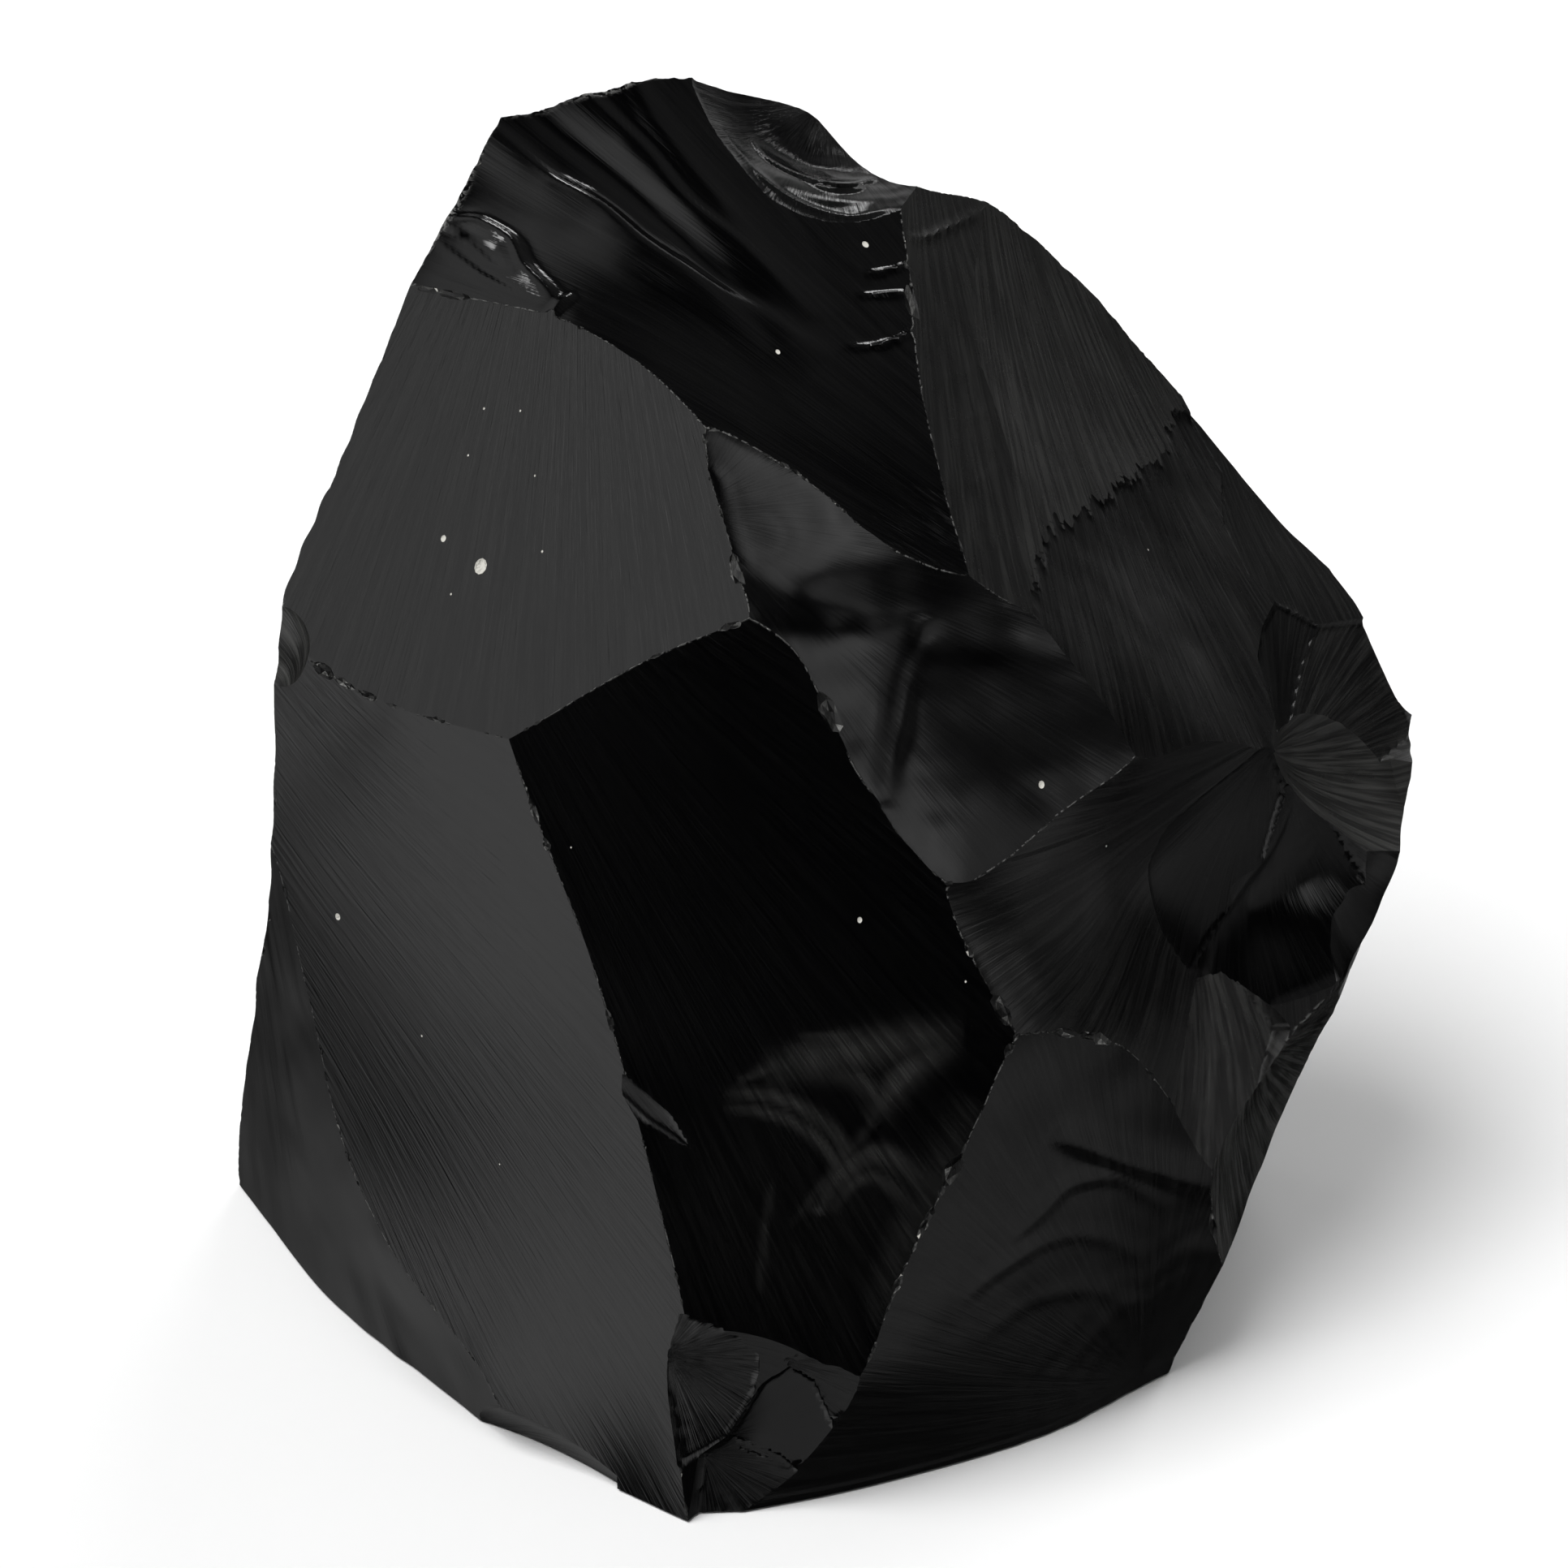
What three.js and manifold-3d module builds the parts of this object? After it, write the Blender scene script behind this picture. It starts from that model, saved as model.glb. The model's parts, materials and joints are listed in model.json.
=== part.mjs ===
// Obsidian chunk: one fist-sized piece of black volcanic glass.
// Every face is a fracture surface left by a blow, nearly flat or hollow like the inside of a shell,
// and neighbouring faces meet in sharp ridges. The stone is made the way it was knapped: a rough
// block loses everything outside one fracture face after another, and then the small scars.
//
// Millimetres, +Z up. The stone stands on its flat underside, and the origin is on that face.
import * as THREE from 'three';
import { mergeVertices } from 'three/addons/utils/BufferGeometryUtils.js';
import Module from 'manifold-3d';

const wasm = await Module();
wasm.setup();

// ---------------------------------------------------------------- driving dimensions

const BLOCK_LOW = [-42, -26, 0]; // corner of the rough block, its underside at z = 0
const BLOCK_HIGH = [47, 41, 86];
const CELL = 4; // spacing of the points on a fracture face
const SCAR_CELLS = 48; // cells round the ball that a small scar is cut with
const REACH = 76; // how far a fracture runs from the middle of its face
const AWAY = 60; // how much stone a fracture takes away above its face
const RIM_LIFT = 0.15; // 1/mm, how fast a bounded fracture climbs outside its own corners
const HOLD = 1.15; // past this many radii of its face a fracture runs on level
const GLASS = { color: 0x0b0b0c, roughness: 0.12, metalness: 0 };

// Where the ridges meet, named by where they are on the standing stone seen from the front.
const CORNER = {
  // top edge of the two left-hand faces
  leftShoulder: [-25, 12.5, 75.5],
  shoulderArch: [-15, 8.5, 75],
  shoulderEnd: [-5, 0.5, 70.5],
  leftTemple: [-29.5, 5, 66.5],
  // the knee, where the three front faces meet, and the ridges that leave it
  knee: [-18, -11.5, 54],
  hipBend: [-25, -8.5, 54.5],
  hip: [-30.5, -5, 55.5],
  hipEdge: [-33.5, -2, 58],
  browMiddle: [-9, -10, 59],
  brow: [-2, -9.5, 62],
  browScar: [-2.5, -7, 64],
  keelHigh: [-13, -15, 40],
  keelMiddle: [-11, -17, 33.5],
  keelLow: [-6.5, -21.5, 14],
  foot: [-6.5, -24, 0],
  // left flank
  flankTop: [-34, -3, 53],
  flankUpper: [-34.5, -4, 41],
  flankMiddle: [-30.5, -6.5, 20],
  flankLower: [-26, -10.5, 11.5],
  flankToe: [-20.5, -15, 5.5],
  flankBack: [-37.5, 7.5, 19.5],
  baseFront: [-12.5, -19.5, 0],
  baseLeftFront: [-24, -8.5, 0],
  baseLeft: [-33, 3.5, 0],
  baseLeftBack: [-40, 17.5, 0],
  // right-hand ridge of the middle face
  browRight: [4.5, -12, 52.5],
  ribRight: [10.5, -14, 44.5],
  chin: [15.5, -16.5, 34.5],
  chinLower: [12.5, -18, 27.5],
  toeUpper: [7.5, -21, 16.5],
  toe: [4.5, -22.5, 10],
  // crown
  crownMiddle: [2, -2, 67.5],
  crownPoint: [12, -6.5, 63.5],
  crownEdge: [10.5, -0.5, 67],
  crownBack: [8.5, 15.5, 74],
  crownRight: [7.5, 25, 78],
  crownTop: [-8.5, 29.5, 83],
  crownLeft: [-20.5, 24.5, 80.5],
  crownLip: [-22.5, 18.5, 78],
  // right-hand shoulder
  stripFoot: [16.5, -6.5, 60.5],
  stripMiddle: [15, 7, 65.5],
  stripTop: [14, 29, 74],
  slopeTop: [22, 31, 65.5],
  slopeMiddle: [30.5, 30, 55.5],
  slopeLow: [36.5, 27, 49.5],
  slopeBrim: [42, 24, 45.5],
  slopeEnd: [45, 20, 40.5],
  slopeFoot: [21.5, -8, 54.5],
  strike: [33.5, 4.5, 45.5],
  // right-hand side
  bowlLeft: [12.5, -13.5, 44.5],
  bowlUpperLeft: [18, -11, 48],
  bowlTop: [23.5, -8.5, 51.5],
  bowlUpperRight: [28, -2.5, 49.5],
  bowlFloor: [24.5, -4.5, 39],
  cheekHigh: [44, 13, 38.5],
  cheekMiddle: [42, 6, 32.5],
  cheekLow: [38, 0, 28],
  jaw: [29.5, -9.5, 20.5],
  jawBend: [22.5, -13.5, 31.5],
  jawFoot: [30.5, -7.5, 9.5],
  heelRight: [38.5, 6, 22],
  baseRightFront: [20, -12.5, 0],
  baseRight: [27, -6.5, 0],
  baseRightMiddle: [29.5, 4, 0],
  baseRightBack: [33, 22, 0],
  heelBack: [42, 23, 22],
  // back
  baseBack: [4, 34, 0],
  baseBackLeft: [-31, 32, 0],
  backLeftMiddle: [-35.5, 25, 34],
  backLeftHigh: [-26.5, 27, 62],
  backLow: [-4, 39, 18],
  backMiddle: [-2, 38.5, 44],
  backHigh: [-6, 35, 70],
  backRight: [22, 37.5, 38],
};

// The big faces. Each runs through its corners, listed counterclockwise from outside, and is hollow
// to the given radius. A bounded one climbs away outside its corners and leaves its neighbours alone.
const FACES = [
  {
    corners: 'knee browMiddle brow browScar shoulderEnd shoulderArch leftShoulder leftTemple hipEdge'
      + ' hip hipBend',
    hollow: 900,
  },
  {
    corners: 'knee hipBend hip flankTop flankUpper flankMiddle flankLower flankToe baseFront foot'
      + ' keelLow keelMiddle keelHigh',
    hollow: 500,
  },
  {
    corners: 'flankUpper flankBack baseLeftBack baseLeft baseLeftFront flankToe flankLower'
      + ' flankMiddle',
    hollow: 300,
  },
  {
    corners: 'knee keelHigh keelMiddle keelLow toe toeUpper chinLower chin ribRight browRight brow'
      + ' browMiddle',
    hollow: 400,
  },
  { corners: 'keelLow foot toe', hollow: 60 },
  {
    corners: 'leftShoulder shoulderArch shoulderEnd crownMiddle crownPoint crownEdge crownBack'
      + ' crownRight crownTop crownLeft crownLip',
    hollow: 120,
  },
  { corners: 'crownRight crownBack crownEdge crownPoint stripFoot stripMiddle stripTop', hollow: 300 },
  {
    corners: 'stripTop stripMiddle stripFoot slopeFoot bowlTop bowlUpperRight strike slopeEnd'
      + ' slopeBrim slopeLow slopeMiddle slopeTop',
    hollow: 200,
  },
  {
    corners: 'brow browRight ribRight bowlLeft bowlUpperLeft bowlTop slopeFoot stripFoot crownPoint'
      + ' crownMiddle shoulderEnd browScar',
    hollow: 45, bounded: true,
  },
  {
    corners: 'chin jawBend jaw cheekLow cheekMiddle cheekHigh strike bowlUpperRight bowlTop'
      + ' bowlUpperLeft bowlLeft ribRight',
    inner: 'bowlFloor', hollow: 200, bounded: true,
  },
  { corners: 'chin chinLower toeUpper toe foot baseRightFront baseRight jawFoot jaw jawBend', hollow: 150 },
  { corners: 'jaw jawFoot heelRight cheekLow', hollow: 60 },
  { corners: 'jawFoot baseRight baseRightMiddle baseRightBack heelBack heelRight', hollow: 200 },
  { corners: 'cheekLow heelRight heelBack slopeEnd cheekHigh cheekMiddle', hollow: 120 },
  { corners: 'slopeTop slopeMiddle slopeLow slopeBrim slopeEnd backRight', hollow: 150 },
  { corners: 'heelBack baseRightBack baseBack backLow backRight slopeEnd', hollow: 150 },
  { corners: 'backRight backLow backMiddle backHigh crownTop crownRight stripTop slopeTop', hollow: 110 },
  { corners: 'baseBack baseBackLeft backLow', hollow: 120 },
  { corners: 'backLow baseBackLeft backLeftMiddle backMiddle', hollow: 130 },
  { corners: 'backMiddle backLeftMiddle backLeftHigh crownLeft crownTop backHigh', hollow: 120 },
  {
    corners: 'leftShoulder crownLip crownLeft backLeftHigh backLeftMiddle flankTop hipEdge leftTemple',
    hollow: 220,
  },
  { corners: 'baseLeftBack flankBack flankUpper flankTop backLeftMiddle baseBackLeft', hollow: 260 },
];

// The larger flake scars, shallow bowls with an oval rim: the middle of the rim, the way it faces,
// the way its long axis runs, half its length and width, and its depth.
const SCARS = [
  // the ringed bowl struck into the back edge of the crown
  { at: [1, 28, 81], faces: [0.05, 0.1, 1], runs: [1, 0.1, 0], half: [9.5, 9], depth: 3 },
  // the nick where the two left-hand faces meet the flank
  { at: [-33, -3.5, 56.5], faces: [-0.85, -0.45, 0.25], runs: [0.2, 0.1, 1], half: [3.8, 2.4], depth: 1.4 },
  // flakes off the foot
  { at: [-18, -14.5, 1.5], faces: [-0.5, -0.75, -0.45], runs: [3, -2.6, 0], half: [7, 3.2], depth: 1.3 },
  { at: [0.5, -22.8, 6], faces: [0.2, -0.9, -0.2], runs: [0.5, 0, 1], half: [5, 3], depth: 0.9 },
  // spalls round the point of the blow on the right
  { at: [39, 3, 33], faces: [0.9, -0.4, 0], runs: [0.2, 0.1, 1], half: [5.5, 4], depth: 1.6 },
  // flakes on the hidden side
  { at: [24, 34, 62], faces: [0.4, 0.75, 0.5], runs: [0.6, 0, -0.8], half: [9, 6], depth: 2.2 },
  { at: [-30, 29, 40], faces: [-0.75, 0.65, 0.1], runs: [0, 0.1, 1], half: [10, 7], depth: 2.4 },
  { at: [8, 37, 10], faces: [0.1, 0.95, -0.25], runs: [1, 0, 0.1], half: [12, 7], depth: 2 },
];

// ---------------------------------------------------------------- solids and cuts

// A closed geometry as a solid that can be cut.
function solid(geometry) {
  const bare = geometry.clone();
  bare.deleteAttribute('normal');
  bare.deleteAttribute('uv');
  const merged = mergeVertices(bare);
  return new wasm.Manifold(new wasm.Mesh({
    numProp: 3,
    vertProperties: new Float32Array(merged.attributes.position.array),
    triVerts: new Uint32Array(merged.index.array),
  }));
}

function geometryOf(manifold) {
  const { numProp, vertProperties, triVerts } = manifold.getMesh();
  const points = new Float32Array(triVerts.length * 3);
  triVerts.forEach((v, i) => points.set(vertProperties.subarray(v * numProp, v * numProp + 3), i * 3));
  const geometry = new THREE.BufferGeometry();
  geometry.setAttribute('position', new THREE.BufferAttribute(points, 3));
  geometry.computeVertexNormals();
  return geometry;
}

// ---------------------------------------------------------------- fracture faces

// Mean plane of a loop of corners: its middle and a turned frame whose Z is the outward normal.
function planeOf(loop) {
  const middle = new THREE.Vector3();
  const normal = new THREE.Vector3();
  loop.forEach((a, i) => {
    middle.addScaledVector(a, 1 / loop.length);
    normal.add(new THREE.Vector3().crossVectors(a, loop[(i + 1) % loop.length]));
  });
  const turn = new THREE.Quaternion().setFromUnitVectors(new THREE.Vector3(0, 0, 1), normal.normalize());
  return new THREE.Matrix4().compose(middle, turn, new THREE.Vector3(1, 1, 1));
}

// Gauss elimination: x of a x = b.
function solve(a, b) {
  const n = b.length;
  const m = a.map((row, i) => [...row, b[i]]);
  for (let c = 0; c < n; c += 1) {
    let pivot = c;
    for (let r = c + 1; r < n; r += 1) {
      pivot = Math.abs(m[r][c]) > Math.abs(m[pivot][c]) ? r : pivot;
    }
    [m[c], m[pivot]] = [m[pivot], m[c]];
    for (let r = 0; r < n; r += 1) {
      const share = r === c ? 0 : m[r][c] / m[c][c];
      for (let j = c; j <= n; j += 1) {
        m[r][j] -= share * m[c][j];
      }
    }
  }
  return m.map((row, i) => row[n] / row[i]);
}

const bend = (r) => (r > 0 ? r * r * Math.log(r) : 0);

// The smoothest sheet through the given points: a function of the place in the plane.
function sheetThrough(points) {
  const pull = (p, q) => bend(Math.hypot(p.x - q.x, p.y - q.y));
  const rows = points.map((p) => [...points.map((q) => pull(p, q)), 1, p.x, p.y]);
  const flat = [() => 1, (p) => p.x, (p) => p.y].map((term) => [...points.map(term), 0, 0, 0]);
  const weight = solve([...rows, ...flat], [...points.map((p) => p.z), 0, 0, 0]);
  const [level, tiltX, tiltY] = weight.slice(points.length);
  return (x, y) => points.reduce(
    (sum, p, i) => sum + weight[i] * bend(Math.hypot(p.x - x, p.y - y)),
    level + tiltX * x + tiltY * y,
  );
}

// How far a place lies outside a loop of corners, 0 inside it.
function outside(loop, x, y) {
  let inside = false;
  let nearest = Infinity;
  loop.forEach((a, i) => {
    const b = loop[(i + 1) % loop.length];
    const runX = b.x - a.x;
    const runY = b.y - a.y;
    const crosses = (a.y > y) !== (b.y > y) && x < a.x + ((y - a.y) * runX) / runY;
    inside = inside !== crosses;
    const along = ((x - a.x) * runX + (y - a.y) * runY) / (runX ** 2 + runY ** 2);
    const t = THREE.MathUtils.clamp(along, 0, 1);
    nearest = Math.min(nearest, Math.hypot(x - a.x - t * runX, y - a.y - t * runY));
  });
  return inside ? 0 : nearest;
}

// Everything above one fracture face, as a solid.
function aboveFace({ corners, inner = '', hollow, bounded = false }) {
  const cornerAt = (name) => new THREE.Vector3(...CORNER[name]);
  const named = (names) => names.split(' ').filter(Boolean).map(cornerAt);
  const frame = planeOf(named(corners));
  const inPlane = (points) => points.map((p) => p.applyMatrix4(frame.clone().invert()));
  const loop = inPlane(named(corners));
  const held = [...loop, ...inPlane(named(inner))];
  const radius = Math.max(...loop.map((p) => Math.hypot(p.x, p.y)));
  const shell = (x, y) => (x * x + y * y - radius * radius) / (2 * hollow);
  held.forEach((p) => {
    p.z -= shell(p.x, p.y);
  });
  const sheet = sheetThrough(held);

  const cells = Math.round((2 * REACH) / CELL);
  const box = new THREE.BoxGeometry(2 * REACH, 2 * REACH, AWAY, cells, cells, 1);
  const place = box.attributes.position;
  for (let i = 0; i < place.count; i += 1) {
    if (place.getZ(i) > 0) {
      place.setZ(i, AWAY);
      continue;
    }
    const x = place.getX(i);
    const y = place.getY(i);
    const pull = Math.min(1, (HOLD * radius) / Math.hypot(x, y));
    const height = shell(x * pull, y * pull) + sheet(x * pull, y * pull);
    place.setZ(i, height + (bounded ? RIM_LIFT * outside(loop, x, y) ** 2 : 0));
  }
  return solid(box.applyMatrix4(frame));
}

// The lens of stone that a small flake takes out, as a ball scaled across to the scar's width.
function flake({ at, faces, runs, half, depth }) {
  const [length, width] = half;
  const radius = (length * length + depth * depth) / (2 * depth);
  const ball = new THREE.SphereGeometry(radius, SCAR_CELLS, SCAR_CELLS / 2);
  ball.translate(0, 0, radius - depth);
  ball.scale(1, width / length, 1);
  const up = new THREE.Vector3(...faces).normalize();
  const across = new THREE.Vector3().crossVectors(up, new THREE.Vector3(...runs)).normalize();
  const along = new THREE.Vector3().crossVectors(across, up);
  return solid(ball.applyMatrix4(new THREE.Matrix4().makeBasis(along, across, up).setPosition(...at)));
}

// ---------------------------------------------------------------- the stone

function obsidianChunk() {
  const size = BLOCK_HIGH.map((high, i) => high - BLOCK_LOW[i]);
  const block = new THREE.BoxGeometry(...size);
  block.translate(...BLOCK_LOW.map((low, i) => low + size[i] / 2));
  const broken = FACES.reduce((left, face) => left.subtract(aboveFace(face)), solid(block));
  const stone = SCARS.reduce((left, scar) => left.subtract(flake(scar)), broken);
  const mesh = new THREE.Mesh(geometryOf(stone), new THREE.MeshStandardMaterial(GLASS));
  mesh.name = 'obsidian_chunk';
  return mesh;
}

const part = new THREE.Group();
part.name = 'obsidian_chunk_part';
part.add(obsidianChunk());

export default part;
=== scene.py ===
"""A fist-sized chunk of black volcanic glass, knapped in code.

The stone is one piece. Every part of its skin is a fracture: a nearly flat or shell-like sheet with
its own ripples, hackle lines and waves. A rough block loses everything outside one sheet after
another, then the small flake scars, and last the many tiny chips along its ridges.
Stone sizes are in millimetres, and the finished mesh is scaled to metres.
"""
import json
import math

import bmesh
import bpy
import numpy as np
from mathutils import Matrix, Vector, kdtree

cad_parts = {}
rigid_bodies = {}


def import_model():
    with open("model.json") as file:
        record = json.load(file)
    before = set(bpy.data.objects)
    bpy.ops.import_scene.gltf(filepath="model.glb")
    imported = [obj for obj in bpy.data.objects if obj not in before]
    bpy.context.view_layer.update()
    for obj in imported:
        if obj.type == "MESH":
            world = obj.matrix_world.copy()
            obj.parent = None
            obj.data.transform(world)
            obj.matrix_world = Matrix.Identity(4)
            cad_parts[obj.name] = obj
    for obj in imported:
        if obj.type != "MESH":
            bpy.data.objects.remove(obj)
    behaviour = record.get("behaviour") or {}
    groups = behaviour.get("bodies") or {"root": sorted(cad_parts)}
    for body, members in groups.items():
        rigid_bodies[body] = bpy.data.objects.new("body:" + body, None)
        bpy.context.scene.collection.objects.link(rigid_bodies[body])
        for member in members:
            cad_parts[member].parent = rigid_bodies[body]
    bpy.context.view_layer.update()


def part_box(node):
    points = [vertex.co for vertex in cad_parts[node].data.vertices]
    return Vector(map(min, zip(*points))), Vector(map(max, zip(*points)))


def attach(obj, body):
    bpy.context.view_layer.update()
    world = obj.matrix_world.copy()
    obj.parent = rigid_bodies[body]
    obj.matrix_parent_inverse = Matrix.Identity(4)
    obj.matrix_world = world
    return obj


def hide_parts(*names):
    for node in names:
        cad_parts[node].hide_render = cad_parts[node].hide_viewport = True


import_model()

MM = 0.001
SEED = 7

# ---------------------------------------------------------------- where the ridges meet, in mm

CORNER = {
    # top edge of the two left-hand faces
    "leftShoulder": (-25, 12.5, 75.5),
    "shoulderArch": (-15, 8.5, 75),
    "shoulderEnd": (-5, 0.5, 70.5),
    "leftTemple": (-29.5, 5, 66.5),
    # the knee, where the three front faces meet, and the ridges that leave it
    "knee": (-18, -11.5, 54),
    "hipBend": (-25, -8.5, 54.5),
    "hip": (-30.5, -5, 55.5),
    "hipEdge": (-33.5, -2, 58),
    "browMiddle": (-9, -10, 59),
    "brow": (-2, -9.5, 62),
    "browScar": (-2.5, -7, 64),
    "keelHigh": (-13, -15, 40),
    "keelMiddle": (-11, -17, 33.5),
    "keelLow": (-6.5, -21.5, 14),
    "foot": (-6.5, -24, 0),
    # left flank
    "flankTop": (-34, -3, 53),
    "flankUpper": (-34.5, -4, 41),
    "flankMiddle": (-30.5, -6.5, 20),
    "flankLower": (-26, -10.5, 11.5),
    "flankToe": (-20.5, -15, 5.5),
    "flankBack": (-37.5, 7.5, 19.5),
    "baseFront": (-12.5, -19.5, 0),
    "baseLeftFront": (-24, -8.5, 0),
    "baseLeft": (-33, 3.5, 0),
    "baseLeftBack": (-40, 17.5, 0),
    # right-hand ridge of the middle face
    "browRight": (4.5, -12, 52.5),
    "ribRight": (10.5, -14, 44.5),
    "chin": (15.5, -16.5, 34.5),
    "chinLower": (12.5, -18, 27.5),
    "toeUpper": (7.5, -21, 16.5),
    "toe": (4.5, -22.5, 10),
    # crown
    "crownMiddle": (2, -2, 67.5),
    "crownPoint": (12, -6.5, 63.5),
    "crownEdge": (10.5, -0.5, 67),
    "crownBack": (8.5, 15.5, 74),
    "crownRight": (7.5, 25, 78),
    "crownTop": (-8.5, 29.5, 83),
    "crownLeft": (-19.5, 25, 81.8),
    "crownBrim": (3, 31, 81.2),
    "crownLip": (-22.5, 18.5, 78),
    # right-hand shoulder
    "stripFoot": (16.5, -6.5, 60.5),
    "stripMiddle": (15, 7, 65.5),
    "stripTop": (14, 29, 74),
    "slopeTop": (22, 31, 65.5),
    "slopeMiddle": (30.5, 30, 55.5),
    "slopeLow": (36.5, 27, 49.5),
    "slopeBrim": (42, 24, 45.5),
    "slopeEnd": (45, 20, 40.5),
    "slopeFoot": (21.5, -8, 54.5),
    "strike": (33.5, 4.5, 45.5),
    # right-hand side
    "bowlLeft": (12.5, -13.5, 44.5),
    "bowlUpperLeft": (18, -11, 48),
    "bowlTop": (23.5, -8.5, 51.5),
    "bowlUpperRight": (28, -2.5, 49.5),
    "bowlFloor": (24.5, -4.5, 39),
    "satinHigh": (9, -7.8, 60),
    "satinMiddle": (8, -9.7, 55.5),
    "cheekHigh": (44, 13, 38.5),
    "cheekMiddle": (42, 6, 32.5),
    "cheekLow": (38, 0, 28),
    "jaw": (29.5, -9.5, 20.5),
    "jawBend": (22.5, -13.5, 31.5),
    "jawFoot": (30.5, -7.5, 9.5),
    "heelRight": (38.5, 6, 22),
    "baseRightFront": (20, -12.5, 0),
    "baseRight": (27, -6.5, 0),
    "baseRightMiddle": (29.5, 4, 0),
    "baseRightBack": (33, 22, 0),
    "heelBack": (42, 23, 22),
    # back
    "baseBack": (4, 34, 0),
    "baseBackLeft": (-31, 32, 0),
    "backLeftMiddle": (-35.5, 25, 34),
    "backLeftHigh": (-26.5, 27, 62),
    "backLow": (-4, 39, 18),
    "backMiddle": (-2, 38.5, 44),
    "backHigh": (-6, 35, 70),
    "backRight": (22, 37.5, 38),
}

# ---------------------------------------------------------------- fracture sheets

REACH = 76.0        # how far a big fracture runs from the middle of its face
AWAY = 60.0         # how much stone a big fracture takes away above its face
SCAR_AWAY = 9.0     # the same for a flake scar
HOLD = 1.15         # past this many face radii a sheet runs on level
RIM_LIFT = 0.15     # 1/mm, how fast a bounded face climbs outside its corners
OUTER_CELLS = 7     # widening cells between a face's fine part and its reach
FACE_MARGIN = 2.0   # fine cells run this far past the corners
SCAR_MARGIN = 1.6   # and a scar's cells this far
FACE_CELL = 0.7     # spacing of the points on a big face
SCAR_CELL = 0.3     # and on a scar
NOISE_CELLS = 64    # a noise pattern repeats after this many of its bumps
TINY = 1e-9         # keeps a division away from 0


def noise(x, y, seed):
    """Smooth random heights from -1 to 1, with bumps about one unit across."""
    table = np.random.default_rng(seed).random((NOISE_CELLS, NOISE_CELLS)) * 2 - 1
    column, row = np.floor(x).astype(int), np.floor(y).astype(int)
    fx, fy = x - column, y - row
    fx, fy = fx * fx * (3 - 2 * fx), fy * fy * (3 - 2 * fy)
    left, right = column % NOISE_CELLS, (column + 1) % NOISE_CELLS
    lower, upper = row % NOISE_CELLS, (row + 1) % NOISE_CELLS
    low = table[left, lower] * (1 - fx) + table[right, lower] * fx
    high = table[left, upper] * (1 - fx) + table[right, upper] * fx
    return low * (1 - fy) + high * fy


def bend(r):
    """How a thin bent sheet rises with the distance r from a point that holds it."""
    return np.where(r > 0, r * r * np.log(np.maximum(r, TINY)), 0.0)


def sheet_through(points):
    """The smoothest sheet through the given points, as a function of the place in the plane."""
    x, y, z = np.array(points, float).T
    gaps = np.hypot(x[:, None] - x, y[:, None] - y)
    flat = np.stack([np.ones_like(x), x, y], 1)
    table = np.block([[bend(gaps), flat], [flat.T, np.zeros((3, 3))]])
    weight = np.linalg.solve(table, np.concatenate([z, np.zeros(3)]))

    def height(u, v):
        total = weight[-3] + weight[-2] * u + weight[-1] * v
        for px, py, w in zip(x, y, weight):
            total = total + w * bend(np.hypot(u - px, v - py))
        return total

    return height


def rim_gap(loop, x, y):
    """How far each place lies outside a loop, and below 0 inside it."""
    inside = np.zeros(x.shape, bool)
    nearest = np.full(x.shape, np.inf)
    for (ax, ay), (bx, by) in zip(loop, np.roll(loop, -1, axis=0)):
        crosses = (ay > y) != (by > y)
        rise = by - ay if by != ay else TINY
        inside ^= crosses & (x < ax + (y - ay) * (bx - ax) / rise)
        nearest = np.minimum(nearest, reach_to(x, y, ax, ay, bx, by)[0])
    return np.where(inside, -nearest, nearest)


def reach_to(x, y, ax, ay, bx, by):
    """Distance to the line from a to b, how far along it, and on which side."""
    dx, dy = bx - ax, by - ay
    length2 = dx * dx + dy * dy
    along = np.clip(((x - ax) * dx + (y - ay) * dy) / length2, 0, 1)
    gap = np.hypot(x - ax - along * dx, y - ay - along * dy)
    side = np.sign((x - ax) * dy - (y - ay) * dx)
    return gap, along, side


def smooth_path(points, steps=6):
    """A round curve through the points."""
    points = np.array(points, float)
    ends = np.vstack([2 * points[0] - points[1], points, 2 * points[-1] - points[-2]])
    curve = []
    for a, b, c, d in zip(ends, ends[1:], ends[2:], ends[3:]):
        for t in np.arange(steps) / steps:
            curve.append(0.5 * (2 * b + (c - a) * t + (2 * a - 5 * b + 4 * c - d) * t ** 2
                                + (3 * b - a - 3 * c + d) * t ** 3))
    return np.array(curve + [points[-1]])


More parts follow.
